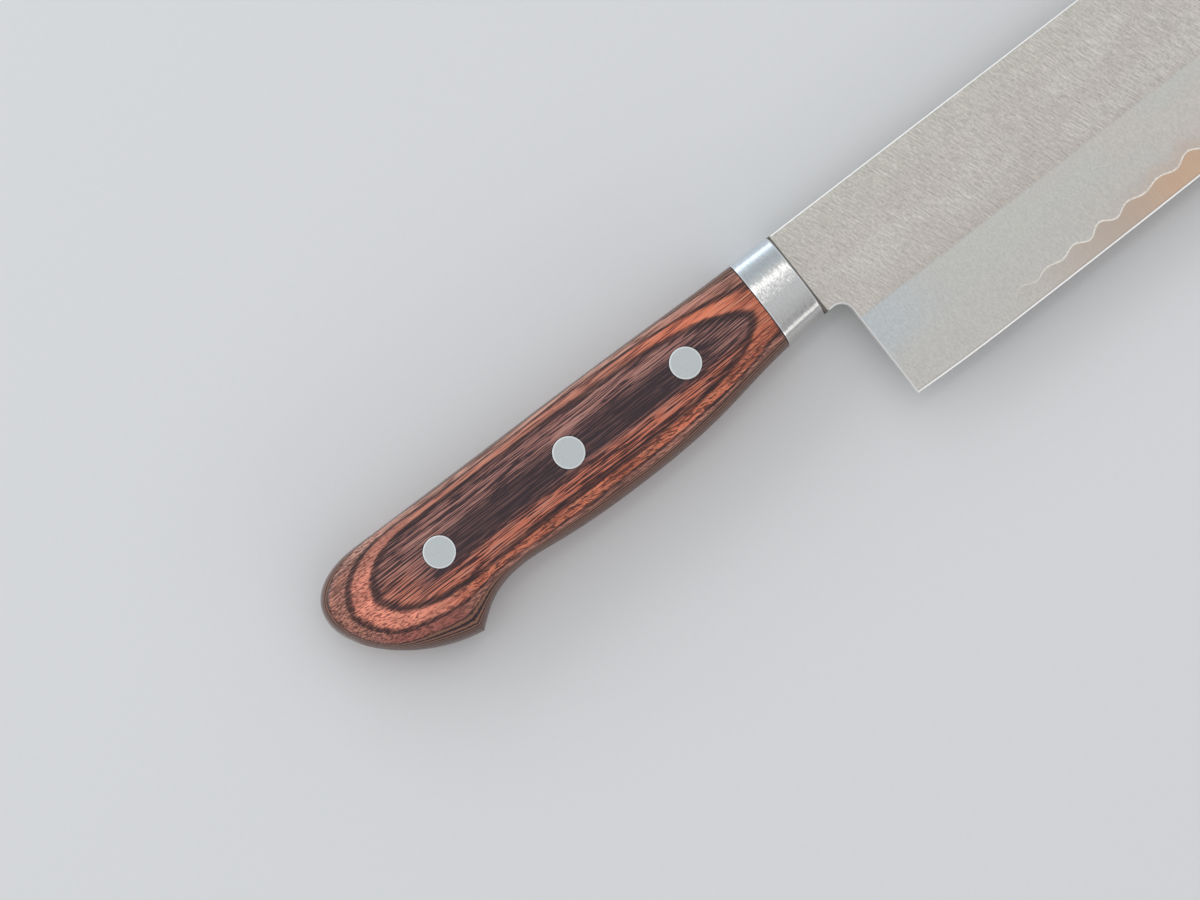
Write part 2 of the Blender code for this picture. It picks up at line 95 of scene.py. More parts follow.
# Blade section: steps inwards over the eased edge, its drop and the share of the thickness that always stays,
# half thickness at the bevel's foot, and widths of the keen edge, of the blend at the bevel's top and of what
# counts as heel and as edge
EASED_STEPS = np.array([0, 0, 0.04, 0.12, 0.25, 0.42, 0.62, 0.82, 1])
EASED_DROP = 0.35 * MM
LEAST_SHARE = 0.15
SHOULDER = 0.2 * MM
KEEN_WIDTH = 0.3 * MM
BEVEL_BLEND = 0.12 * MM
HEEL_WIDTH = 1.5 * MM
EDGE_WIDTH = 0.25 * MM

# Ferrule: reach of the wall inside, the back rim as places and steps inwards, and the slot in the front
WALL_REACH = 1.5 * MM
BACK_RIM = ((0, -0.12 * MM), (0.04 * MM, -0.03 * MM), (0.12 * MM, 0))
SLOT = (6.5 * MM, 1.3 * MM)
SLOT_CENTRE = np.array([0, -10.6 * MM, 0])
SLOT_DEPTH = 0.8 * MM

# Handle outline: heights of the spine side by the share of the way from the ferrule to the butt,
# and depths of the belly by the share of the way from the hook to the ferrule
SPINE_SIDE = ((0, 0.34), (0.09, 0.36), (0.39, 1), (0.74, 1.4), (1, 1.75))
BELLY_SIDE = (
    (0.046, 24.9), (0.103, 22.7), (0.254, 23.1), (0.47, 24.2), (0.687, 23.2), (0.855, 20.75), (1, 19.55),
)
BUTT_REACH = 14 * MM
BUTT_POWER = 2.3
NOSE_DEPTH = 7.8 * MM
HEEL_OF_HAND_REACH = 27 * MM
HEEL_OF_HAND_DEPTH = 20.6 * MM
HEEL_OF_HAND_POWER = 1.68
HOOK = BUTT + 24.7 * MM
FAN = BUTT + BUTT_REACH
MIDDLE_DEPTH = 10 * MM

# Handle section
FRONT_THINNING = 0.95 * MM
FRONT_THINNING_LENGTH = 60 * MM
SPINE_CROWN = (1.8 * MM, 8.6 * MM)
BELLY_CROWN = (3.4 * MM, 10 * MM)
CROWN_BLEND = 10 * MM
EDGE_ROUND = 3 * MM
HOOK_EDGE_ROUND = 1.4 * MM
HOOK_EDGE_LENGTH = 14 * MM
EDGE_POWER = 3

# Where three glue lines between the veneers come out on the handle's face, in mm of the knife's frame
FIRST_GLUE_LINE = (
    (-13.2, -11), (-17.5, -15.2), (-27, -17.9), (-52, -18.9), (-83, -18.8), (-102.4, -17.4),
    (-107.7, -14.4), (-109.9, -10.8), (-108.9, -7.3), (-105.4, -4), (-93.3, -1.9), (-60, -2.3),
    (-38, -3.4), (-26.3, -4.9), (-15.9, -8.6),
)
SECOND_GLUE_LINE = (
    (-9, -5.2), (-29, -1.9), (-45, -0.6), (-93, -0.3), (-107.7, -1.2), (-113, -4.2),
    (-116.1, -10.5), (-114.4, -14.8), (-109.4, -19), (-103.6, -20.8), (-96.2, -21.9), (-89.1, -21.1),
    (-82.9, -20.7), (-72.6, -21.3), (-46, -21.7), (-29, -20.9), (-9, -17.4),
)
THIRD_GLUE_LINE = (
    (-9, -1.5), (-40, 0.3), (-93, 0.9), (-108, 0.9), (-115.8, -1.6), (-119, -4.8),
    (-119.7, -8.7), (-117.6, -14.6), (-111.5, -20.6), (-102.9, -23.5), (-96.8, -24.4), (-91.2, -22.5),
    (-83, -21.5), (-62, -22.5), (-41.5, -22.6), (-20.7, -20.1), (-9, -18.6),
)
LINE_POINTS = 300
VENEER = 0.65 * MM
MIDDLE_REACH = 8 * MM

# Glue lines as they look: veneer number, half widths on both sides and strength
FACE_GLUE_LINES = ((1, 0.17, 0.25, 0.93), (2, 0.25, 0.2, 0.93), (3, 0.16, 0.12, 0.9))

RIVETS = ("front", "middle", "back")
RIM_EASE = 0.2 * MM
SEAT_TOP = 20 * MM
CIRCLE_POINTS = 96
CIRCLE_ANGLES = np.linspace(0, 2 * math.pi, CIRCLE_POINTS, endpoint=False)
CIRCLE = np.c_[np.cos(CIRCLE_ANGLES), np.sin(CIRCLE_ANGLES)]

# Colours of the flat
CLOUDY_FLAT = (0.558, 0.522, 0.476)
SPINE_FLAT = (0.56, 0.54, 0.485)
LOW_FLAT = (0.47, 0.41, 0.365)
BRIGHT_SCRATCH = (0.78, 0.76, 0.72)
BRIGHT_DOT = (0.8, 0.79, 0.76)
FERRULE_SHADOW = (0.08, 0.07, 0.06)

# Colours of the bevel and the edges
LOW_BEVEL = (0.625, 0.595, 0.55)
BLUSH = (0.65, 0.585, 0.535)
TIP_CORE = (0.66, 0.46, 0.32)
CORE_GLOW = (0.62, 0.47, 0.38)
CORE_RIDGE = (0.95, 0.9, 0.81)
EDGE_SHADOW = (0.3, 0.26, 0.2)
# Painted highlight: the keen edge is painted near-white in place of the glint of light along it
KEEN_EDGE_HIGHLIGHT = (0.97, 0.95, 0.91)
# Painted highlight: the eased edges are painted near-white in place of the light they catch
EASED_EDGE_HIGHLIGHT = (0.93, 0.92, 0.89)

# Colours of the ferrule and the rivets
# Painted reflection: the ferrule's spine side is painted darker and bluish, as its surroundings reflect there
SPINE_SIDE_REFLECTION = (0.515, 0.565, 0.58)
# Painted highlight: the ferrule's spine corner is painted bright and bluish, in place of the window's gleam
# there
SPINE_CORNER_HIGHLIGHT = (0.74, 0.81, 0.86)
# Painted shade: the ferrule's belly side is painted darker, standing in for the dark that reflects there
BELLY_SIDE_SHADE = (0.5, 0.485, 0.46)
RUB_MARK = (0.3, 0.28, 0.26)
# Painted highlight: the ferrule's front and back rims are painted pale in place of the glint on their
# roundings
FERRULE_RIM_HIGHLIGHT = (0.85, 0.86, 0.86)
DULL_SPOT = (0.42, 0.44, 0.43)
# Painted highlight: the rivet heads' rims are painted near-white in place of the glint on their eased arris
RIVET_RIM_HIGHLIGHT = (0.93, 0.94, 0.93)

# Colours of the wood
PALE_STREAK = (0.6, 0.34, 0.26)
CLEAR_GROUND = (0.048, 0.021, 0.022)
WARM_GROUND = (0.08, 0.022, 0.017)
ORANGE_STREAK = (0.74, 0.34, 0.21)
# Partly grain, partly painted sheen: cream streaks along the spine edge
CREAM_STREAK_AND_SHEEN = (0.66, 0.36, 0.27)
LOW_BUTT = (0.36, 0.105, 0.08)
DARK_PORE = (0.08, 0.024, 0.019)
BUTT_PORE = (0.24, 0.058, 0.042)
PALE_PORE = (0.075, 0.028, 0.024)
WALL_SHADE = (0.03, 0.01, 0.009)
# Painted shade: a dark line on the wood right behind the ferrule, in place of the shade in the gap
FERRULE_SEAM_SHADE = (0.035, 0.016, 0.012)

# Camera: focal length and picture in pixels, and where the ferrule's front corner is seen from the middle
FOCAL = 4500
PICTURE_WIDTH = 1200
SENSOR_WIDTH = 36
CORNER_SEEN = (170, 211.7)
CORNER_SHIFT = 1.04 * MM
FLOOR_REACH = 3

# Lamps: name, place from the ferrule, size across and along, watts and colour
LAMPS = (
    ("Window", (-0.25, 1.08, 0.56), (1.8, 0.6), 3.9, (0.86, 0.94, 1)),
    ("Strip", (0, 0.208, 1.2), (1.6, 0.13), 0.78, (1, 0.99, 0.97)),
    ("Overhead", (0.1, 0.05, 1.4), (2.4, 2.4), 2.3, (1, 0.985, 0.965)),
    ("Front", (0.15, -1.05, 0.43), (1.5, 0.24), 1, (1, 0.985, 0.96)),
    ("Side", (-0.95, 0.66, 0.42), (0.9, 0.3), 1.4, (0.94, 0.97, 1)),
)
SURROUND = (0.93, 0.95, 1, 1)
SURROUND_STRENGTH = 0.62


# Settings


def length(name, description, default):
    return FloatProperty(name=name, description=description, default=default, unit="LENGTH", precision=5)


def share(name, description, default):
    return FloatProperty(name=name, description=description, default=default, min=0, max=1, subtype="FACTOR")


def degrees(name, description, default):
    return FloatProperty(name=name, description=description, default=math.radians(default), subtype="ANGLE")


def colour(name, part, default):
    limits = {"size": 3, "min": 0, "max": 1, "subtype": "COLOR"}
    return FloatVectorProperty(name=name, description="Colour of the " + part, default=default, **limits)


class BladeSettings(bpy.types.PropertyGroup):
    neck_length: length("Neck", "From the ferrule to the choil", 5.3 * MM)
    neck_depth: length("Neck depth", "From the spine to the underside of the neck", 19.6 * MM)
    fillet: length("Fillet", "Radius between the neck and the choil", 2.6 * MM)
    bevel_top: length("Bevel line", "Depth of the line where the bevel starts", 24.8 * MM)
    spine: length("Spine", "Thickness at the neck", 2 * MM)
    tip: length("Tip", "Thickness at the tip", 1.5 * MM)
    arris: length("Arris", "Width of the eased edges", 0.45 * MM)
    core_depth: length("Core line", "Mean depth of the line where the core steel starts", 40.7 * MM)
    flat_colour: colour("Flat", "satin flat", (0.59, 0.558, 0.51))
    bevel_colour: colour("Bevel", "ground bevel", (0.61, 0.6, 0.555))
    cool_colour: colour("Cool tint", "bevel near the choil", (0.57, 0.6, 0.605))
    core_colour: colour("Core", "core steel", (0.56, 0.455, 0.375))
    roughness: share("Roughness", "Roughness of the flat", 0.36)


class FerruleSettings(bpy.types.PropertyGroup):
    wall: length("Wall", "Thickness of the drawn wall", 0.6 * MM)
    proud: length("Proud", "How far the ferrule stands above the wood", 0.1 * MM)
    rounding: length("Rounding", "Radius of the front edge", 0.4 * MM)
    metal: colour("Metal", "stainless steel", (0.665, 0.665, 0.645))
    roughness: share("Roughness", "Roughness of the drawn surface", 0.15)


class HandleSettings(bpy.types.PropertyGroup):
    seam: length("Seam", "Gap between the two scales", 0.04 * MM)
    dark_wood: colour("Dark veneer", "middle veneer", (0.032, 0.014, 0.019))
    light_grain: colour("Light grain", "streaks in the middle veneer", (0.345, 0.143, 0.117))
    orange_wood: colour("Orange veneer", "second veneer", (0.72, 0.19, 0.096))
    # Painted light: the second veneer is painted lighter and pinker near the butt, as if more light fell there
    lit_butt_wood: colour("Lit butt veneer", "second veneer near the butt, lightened by painted light", (0.91, 0.315, 0.21))
    pink_wood: colour("Pale veneer", "third veneer", (0.44, 0.185, 0.13))
    edge_wood: colour("Veneer edges", "veneers' edges on the wall", (0.25, 0.115, 0.072))
    glue: colour("Glue line", "lines between the veneers", (0.026, 0.01, 0.012))
    roughness: share("Roughness", "Roughness of the waxed wood", 0.32)


class RivetSettings(bpy.types.PropertyGroup):
    head: length("Head", "Diameter of a rivet's head", 7 * MM)
    gap: length("Gap", "Ring between a head and the wood", 0.07 * MM)
    depth: length("Depth", "Thickness of a head", 1.2 * MM)
    metal: colour("Metal", "rivets", (0.585, 0.62, 0.61))
    roughness: share("Roughness", "Roughness of the sanded heads", 0.5)


class StageSettings(bpy.types.PropertyGroup):
    distance: length("Distance", "From the camera to the knife", 937.5 * MM)
    tilt: degrees("Tilt", "Lean of the camera", 6)
    turn: degrees("Turn", "Angle of the knife in the picture", 37.87)
    floor: colour("Floor", "floor", (0.8, 0.8, 0.79))
    light: FloatProperty(name="Light", description="Strength of the lamps", default=1, min=0)


# Shape of the handle


def natural_spline(knots, at):
    """Heights at the places `at` of the natural cubic spline through (place, height) knots."""
    place, height = np.array(sorted(knots)).T
    step = np.diff(place)
    slope = np.diff(height) / step
    system = np.eye(len(place))
    bend = np.zeros(len(place))
    for k in range(1, len(place) - 1):
        system[k, k - 1 : k + 2] = step[k - 1], 2 * (step[k - 1] + step[k]), step[k]
        bend[k] = 6 * (slope[k] - slope[k - 1])
    bend = np.linalg.solve(system, bend)
    k = np.clip(np.searchsorted(place, at) - 1, 0, len(step) - 1)
    past = at - place[k]
    ahead = place[k + 1] - at
    cubic = (bend[k] * ahead**3 + bend[k + 1] * past**3) / (6 * step[k])
    from_left = (height[k] / step[k] - bend[k] * step[k] / 6) * ahead
    from_right = (height[k + 1] / step[k] - bend[k + 1] * step[k] / 6) * past
    return cubic + from_left + from_right


def smooth_step(way):
    """3w^2 - 2w^3 of a way kept between 0 and 1."""
    way = np.clip(way, 0, 1)
    return way * way * (3 - 2 * way)


def distance_to(points, line):
    """Distance from each point to a line, as the least distance to its straight pieces."""
    shortest = np.full(len(points), np.inf)
    for start, along in zip(line, np.diff(line, axis=0)):
        away = points - start
        way = np.clip((away * along).sum(axis=1) / (along**2).sum(), 0, 1)
        shortest = np.minimum(shortest, np.linalg.norm(away - way[:, None] * along, axis=1))
    return shortest


def enclosed(points, line):
    """Whether each point lies inside a closed line: a ray to +X crosses it an odd number of times."""
    x, y = points.T
    inside = np.zeros(len(points), bool)
    for (x0, y0), (x1, y1) in zip(line, np.roll(line, -1, axis=0)):
        if y0 != y1:
            inside ^= ((y0 > y) != (y1 > y)) & (x < x0 + (y - y0) * (x1 - x0) / (y1 - y0))
    return inside


def smooth_line(knots, closed=False):
    """A line through knots in mm: a natural spline of both coordinates over the straight way along them."""
    knots = np.array(knots) * MM
    if closed:
        knots = np.concatenate([knots[-3:], knots, knots[:4]])
    way = np.concatenate([[0], np.cumsum(np.linalg.norm(np.diff(knots, axis=0), axis=1))])
    start, stop = (way[3], way[-4]) if closed else (way[0], way[-1])
    at = np.linspace(start, stop, LINE_POINTS)
    return np.transpose([natural_spline(list(zip(way, along)), at) for along in knots.T])


def spine_side(x):
    """Natural spline through the heights of SPINE_SIDE."""
    return natural_spline([(way * FAN, height * MM) for way, height in SPINE_SIDE], x)


def heel_of_hand(x):
    """Lower left quarter of a superellipse, from the nose of the butt to the hook."""
    way = np.clip((BUTT + HEEL_OF_HAND_REACH - x) / HEEL_OF_HAND_REACH, 0, 1)
    left = (1 - way**HEEL_OF_HAND_POWER) ** (1 / HEEL_OF_HAND_POWER)
    return -NOSE_DEPTH - HEEL_OF_HAND_DEPTH * left


def belly_side(x):
    """The heel of the hand behind the hook, and a natural spline through BELLY_SIDE in front of it."""
    hook = [(HOOK, float(heel_of_hand(HOOK)))]
    grip = [(HOOK * (1 - way), -depth * MM) for way, depth in BELLY_SIDE]
    return np.where(x < HOOK, heel_of_hand(x), natural_spline(hook + grip, x))


def butt_arc(angle, reach, depth, power):
    """A superelliptic arc at the butt, over angles from the nose."""
    x = BUTT + reach - reach * np.cos(angle) ** (2 / power)
    return np.c_[x, depth * np.sin(angle) ** (2 / power) - NOSE_DEPTH]


def fan_outline(steps):
    """Two superelliptic arcs round the butt, from the spine side to the heel of the hand."""
    top = float(spine_side(np.array(FAN))) + NOSE_DEPTH
    upper = np.linspace(math.pi / 2, 0, steps // 2)
    left = (HEEL_OF_HAND_REACH - BUTT_REACH) / HEEL_OF_HAND_REACH
    last = math.acos(left ** (HEEL_OF_HAND_POWER / 2))
    lower = np.linspace(0, last, steps - steps // 2 + 1)[1:]
    arcs = [
        butt_arc(upper, BUTT_REACH, top, BUTT_POWER),
        butt_arc(lower, HEEL_OF_HAND_REACH, -HEEL_OF_HAND_DEPTH, HEEL_OF_HAND_POWER),
    ]
    return np.concatenate(arcs)


def outline(x, fan_steps):
    """The outline over places x, from the ferrule along the spine, round the butt and back by the belly."""
    upper, lower = [np.c_[x, side(x)] for side in (spine_side, belly_side)]
    return np.concatenate([upper, fan_outline(fan_steps)[1:-1], lower[::-1]])


@cache
def whole_outline():
    """The outline that heights are measured from, worked out once."""
    return outline(np.linspace(OUTLINE_START, FAN, 500), 160)


def centre_half(x):
    """Half the thickness on the middle line, thinner by a parabola towards the ferrule."""
    way = np.clip(1 + x / FRONT_THINNING_LENGTH, 0, 1)
    return HALF_HANDLE - FRONT_THINNING * way**2


def face_height(points):
    """A flat middle, a parabola of the distance to the outline, and a superelliptic edge."""
    x, y = points.T
    inside = distance_to(points, whole_outline())
    to_spine = smooth_step((y + MIDDLE_DEPTH) / CROWN_BLEND + 0.5)
    crown, width = [belly + (spine - belly) * to_spine for belly, spine in zip(BELLY_CROWN, SPINE_CROWN)]
    face = centre_half(x) - crown * np.clip(1 - inside / width, 0, 1) ** 2
    from_hook = np.abs(x - HOOK - HOOK_EDGE_LENGTH / 2) / HOOK_EDGE_LENGTH
    in_hook = (1 - smooth_step(from_hook)) * (1 - to_spine)
    edge = EDGE_ROUND + (HOOK_EDGE_ROUND - EDGE_ROUND) * in_hook
    left = np.clip(1 - inside / edge, 0, 1)
    return face * (1 - left**EDGE_POWER) ** (1 / EDGE_POWER)


def face_columns(rim, goal, edge_steps, face_steps):
    """Points from the rim straight to the goal: rings of the edge, closer together outside, then the face."""
    way = goal - rim
    size = np.linalg.norm(way, axis=1, keepdims=True)
    angle = math.pi / 2 * np.linspace(0, 1, edge_steps) ** 1.6
    edge = EDGE_ROUND * (1 - np.cos(angle) ** (2 / EDGE_POWER))
    edge = np.broadcast_to(edge, (len(rim), edge_steps))
    rest = EDGE_ROUND + (size - EDGE_ROUND) * np.linspace(0, 1, face_steps + 1)[1:]
    reach = np.concatenate([edge, rest], axis=1)
    return rim[:, None] + (reach / size)[:, :, None] * way[:, None]


def handle_section(x, grow):
    """Closed section at x, grown by a margin: spine, upper face, belly, lower face."""
    ends = np.array([[x, float(side(np.array(x)))] for side in (spine_side, belly_side)])
    upper, lower = face_columns(ends, np.array([[x, -MIDDLE_DEPTH]] * 2), 12, 14)
    flat = np.concatenate([upper, lower[::-1][1:]])
    height = face_height(flat)
    height[0] = height[-1] = 0
    centre = ends[:, 1].mean()
    half_depth = (ends[0, 1] - ends[1, 1]) / 2
    y = centre + (flat[:, 1] - centre) * (1 + grow / half_depth)
    z = height * (1 + grow / float(centre_half(x)))
    top = np.c_[np.full_like(y, x), y, z]
    return np.concatenate([top, top[::-1][1:-1] * (1, 1, -1)])


# Meshes


def grid_faces(rows, columns, closed=False):
    """Quads of a grid whose point (row, column) has the index row * columns + column."""
    row = np.arange(rows - 1)[:, None]
    column = np.arange(columns if closed else columns - 1)[None, :]
    after = (column + 1) % columns
    here, below = row * columns, (row + 1) * columns
    quads = [here + column, here + after, below + after, below + column]
    return np.stack([q.ravel() for q in quads], axis=1)


def make_mesh(name, points, faces):
    """A mesh from an array of points in the knife's frame and a list of faces, with doubles merged."""
    mesh = bpy.data.meshes.new(name)
    mesh.from_pydata((points + ZERO).tolist(), [], [list(face) for face in faces])
    work = bmesh.new()
    work.from_mesh(mesh)
    bmesh.ops.remove_doubles(work, verts=work.verts, dist=1e-7)
    bmesh.ops.dissolve_degenerate(work, edges=work.edges, dist=1e-7)
    bmesh.ops.recalc_face_normals(work, faces=work.faces)
    work.to_mesh(mesh)
    work.free()
    return mesh


def local_points(mesh):
    """The mesh's points as an array in the knife's frame."""
    flat = np.empty(len(mesh.vertices) * 3, np.float32)
    mesh.vertices.foreach_get("co", flat)
    return flat.reshape(-1, 3).astype(float) - ZERO


def write_map(mesh, name, first, second=0):
    """Stores one or two values of each point as the piece's own UV map."""
    corner = np.empty(len(mesh.loops), np.int32)
    mesh.loops.foreach_get("vertex_index", corner)
    pairs = np.c_[first, np.broadcast_to(second, first.shape)][corner].astype(np.float32)
    mesh.uv_layers.new(name=name).uv.foreach_set("vector", pairs.ravel())


def add_object(name, data):
    """Links a new object with its data to the scene."""
    made = bpy.data.objects.new(name, data)
    bpy.context.scene.collection.objects.link(made)
    return made


def add_piece(mesh, look, nodes, sharp):
    """Puts a finished mesh into the scene in place of its CAD nodes, with edges over so many degrees sharp."""
    mesh.shade_smooth()
    mesh.set_sharp_from_angle(angle=math.radians(sharp))
    mesh.materials.append(look)
    piece = add_object(mesh.name, mesh)
    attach(piece, BODY)
    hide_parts(*nodes)


# Nodes


class Value:
    """A node's output that can be added, subtracted and multiplied like a number."""

    def __init__(self, shader, socket):
        self.shader = shader
        self.socket = socket

    def __add__(self, other):
        return self.shader.math("ADD", self, other)

    def __sub__(self, other):
        return self.shader.math("SUBTRACT", self, other)

    def __rsub__(self, other):
        return self.shader.math("SUBTRACT", other, self)

    def __mul__(self, other):
        return self.shader.math("MULTIPLY", self, other)

    def __abs__(self):
        return self.shader.math("ABSOLUTE", self)

    def step(self, low, high, to_low=0, to_high=1, kind="SMOOTHSTEP"):
        """A smooth step from one level to another while the value goes from low to high."""
        node = self.shader.add("MapRange", interpolation_type=kind)
        return self.shader.output(node, self, low, high, to_low, to_high)

    def slope(self, low, high, to_low, to_high):
        """A straight slope, level at both ends."""
        return self.step(low, high, to_low, to_high, "LINEAR")


class Shader:
    """Short ways to add nodes to a material or a node group."""

    def __init__(self, tree, surface=None):
        self.tree = tree
        self.surface = surface

    def add(self, kind, **values):
        node = self.tree.nodes.new("ShaderNode" + kind)
        for name, value in values.items():
            setattr(node, name, value)
        return node

    def feed(self, socket, value):
        """Links a Value to a socket, or sets the socket to a number, a vector or a colour."""
        if isinstance(value, Value):
            self.tree.links.new(value.socket, socket)
        else:
            socket.default_value = (*value, 1) if socket.type == "RGBA" else value

    def output(self, node, *values):
        """Feeds a node's first inputs and gives its first output."""
        for socket, value in zip(node.inputs, values):
            self.feed(socket, value)
        return Value(self, node.outputs[0])

    def dress(self, colour, roughness, height, strength, distance):
        """Feeds the material's surface, with a bump of the height."""
        normal = self.bump(height, strength, distance)
        for name, value in (("Base Color", colour), ("Roughness", roughness), ("Normal", normal)):
            self.feed(self.surface.inputs[name], value)

    def math(self, operation, *values):
        return self.output(self.add("Math", operation=operation), *values)

    def vector(self, operation, *values):
        return self.output(self.add("VectorMath", operation=operation), *values)

    def combine(self, *values):
        return self.output(self.add("CombineXYZ"), *values)

    def split(self, vector):
        node = self.add("SeparateXYZ")
        self.feed(node.inputs[0], vector)
        return [Value(self, socket) for socket in node.outputs]

    def blended(self, kind, factor, first, second, blend="MIX"):
        node = self.add("Mix", data_type=kind, blend_type=blend)
        for name, value in (("Factor", factor), ("A", first), ("B", second)):
            self.feed(node.inputs[name], value)
        return Value(self, node.outputs["Result"])

    def mix(self, factor, first, second):
        return self.blended("RGBA", factor, first, second)

    def shade(self, tint, tone):
        """A colour multiplied by a tone."""
        return self.blended("RGBA", 1, tint, tone, "MULTIPLY")

    def blend(self, factor, first, second):
        return self.blended("FLOAT", factor, first, second)

    def place(self, vector, location=(0, 0, 0), rotation=(0, 0, 0), scale=(1, 1, 1)):
        return self.output(self.add("Mapping"), vector, location, rotation, scale)

    def turned(self, vector, degrees, location=(0, 0, 0)):
        """The vector turned about Z."""
        return self.place(vector, location, (0, 0, math.radians(degrees)))

    def noise(self, vector, scale=(1, 1, 1), detail=2, roughness=0.5, location=(0, 0, 0)):
        """Noise with so many lumps a millimetre along each axis."""
        node = self.add("TexNoise")
        node.inputs["Scale"].default_value = 1
        node.inputs["Detail"].default_value = detail
        node.inputs["Roughness"].default_value = roughness
        return self.output(node, self.place(vector, location=location, scale=scale))

    def bump(self, height, strength, distance):
        node = self.add("Bump")
        for name, value in (("Strength", strength), ("Distance", distance), ("Height", height)):
            self.feed(node.inputs[name], value)
        return Value(self, node.outputs[0])

    def knife_millimetres(self):
        """Object coordinates in the knife's frame, in millimetres."""
        coordinates = Value(self, self.add("TexCoord").outputs["Object"])
        return self.place(coordinates, location=tuple(-ZERO / MM), scale=(1 / MM,) * 3)

    def map_values(self, name):
        """The values of a piece's own UV map."""
        return self.split(Value(self, self.add("UVMap", uv_map=name).outputs[0]))

    def group(self, tree, **values):
        node = self.add("Group", node_tree=tree)
        for name, value in values.items():
            self.feed(node.inputs[name], value)
        return {socket.name: Value(self, socket) for socket in node.outputs}


def new_material(name, metallic):
    """A material with a Principled BSDF, and the helper for its nodes."""
    made = bpy.data.materials.get(name) or bpy.data.materials.new(name)
    made.use_nodes = True
    made.node_tree.nodes.clear()
    surface = made.node_tree.nodes.new("ShaderNodeBsdfPrincipled")
    surface.inputs["Metallic"].default_value = metallic
    shader = Shader(made.node_tree, surface)
    shader.feed(shader.add("OutputMaterial").inputs[0], Value(shader, surface.outputs[0]))
    return made, shader


def new_group(name, inputs, outputs):
    """An empty node group with named float or vector sockets."""
    tree = bpy.data.node_groups.new(name, "ShaderNodeTree")
    for way, sockets in (("INPUT", inputs), ("OUTPUT", outputs)):
        for label, kind in sockets:
            tree.interface.new_socket(label, in_out=way, socket_type="NodeSocket" + kind)
    shader = Shader(tree)
    entry, leave = tree.nodes.new("NodeGroupInput"), tree.nodes.new("NodeGroupOutput")
    given = {socket.name: Value(shader, socket) for socket in entry.outputs}
    return tree, shader, given, leave.inputs


def scratches_group():
    """Fine hair scratches along X of the given vector, in mm: a height field and a mask of the deeper ones.

    Two stretched noises give the hair lines; where a coarse noise is high, single deeper lines stand out.
    """
    inputs = [("Vector", "Vector"), ("Length", "Float"), ("Width", "Float")]
    tree, s, given, out = new_group("Hair scratches", inputs, [("Height", "Float"), ("Deep", "Float")])
    along, across = [s.math("DIVIDE", 1, given[name]) for name in ("Length", "Width")]
    stretched = s.vector("MULTIPLY", given["Vector"], s.combine(along, across, 1))
    fine = s.noise(stretched, detail=3, roughness=0.65)
    second = s.place(stretched, location=(17.3, 4.1, 0), rotation=(0, 0, 0.04), scale=(2.1, 0.43, 1))
    long_lines = s.noise(second, detail=1)
    s.feed(out["Height"], fine * 0.6 + long_lines * 0.4)
    s.feed(out["Deep"], long_lines.step(0.68, 0.76))
    return tree


def handling_group():
    """Faint cloudy marks left by hands and wiping, for roughness: two soft noises, in mm."""
    tree, s, given, out = new_group("Handling marks", [("Vector", "Vector")], [("Marks", "Float")])
    broad = s.noise(given["Vector"], (0.07, 0.09, 0.09), detail=3, roughness=0.55)
    small = s.noise(given["Vector"], (0.6, 0.8, 0.8))
    s.feed(out["Marks"], broad * 0.7 + small * 0.3)
    return tree


def hair_scratches(s, place, angle, long, wide, location=(0, 0, 0)):
    """The shared hair scratches, turned by an angle and with a length and a width in mm."""
    tree = bpy.data.node_groups.get("Hair scratches") or scratches_group()
    return s.group(tree, Vector=s.turned(place, angle, location), Length=long, Width=wide)


def worn_roughness(s, place, level, spread):
    """A roughness that the shared handling marks vary."""
    tree = bpy.data.node_groups.get("Handling marks") or handling_group()
    return s.group(tree, Vector=place)["Marks"] * spread + level


# Blade


def spine_line(x):
    """The spine, which falls evenly on its way to the tip."""
    return (SPINE_FALL - SPINE_FALL * x / TIP) * MM


def edge_line(x, choil):
    """The edge: level, lifted a little at the heel and in a long curve at the tip."""
    heel = HEEL_LIFT * np.clip(1 - (x - choil) / HEEL_LIFT_LENGTH, 0, 1) ** 2
    ahead = np.clip((x - TIP_LIFT_START) / (TIP - TIP_LIFT_START), 0, 1)
    return -EDGE_DEPTH + heel + TIP_LIFT * ahead**TIP_LIFT_POWER


def arc(centre, radius, start, stop, count):
    angle = np.radians(np.linspace(start, stop, count))
    return centre + radius * np.c_[np.cos(angle), np.sin(angle)]


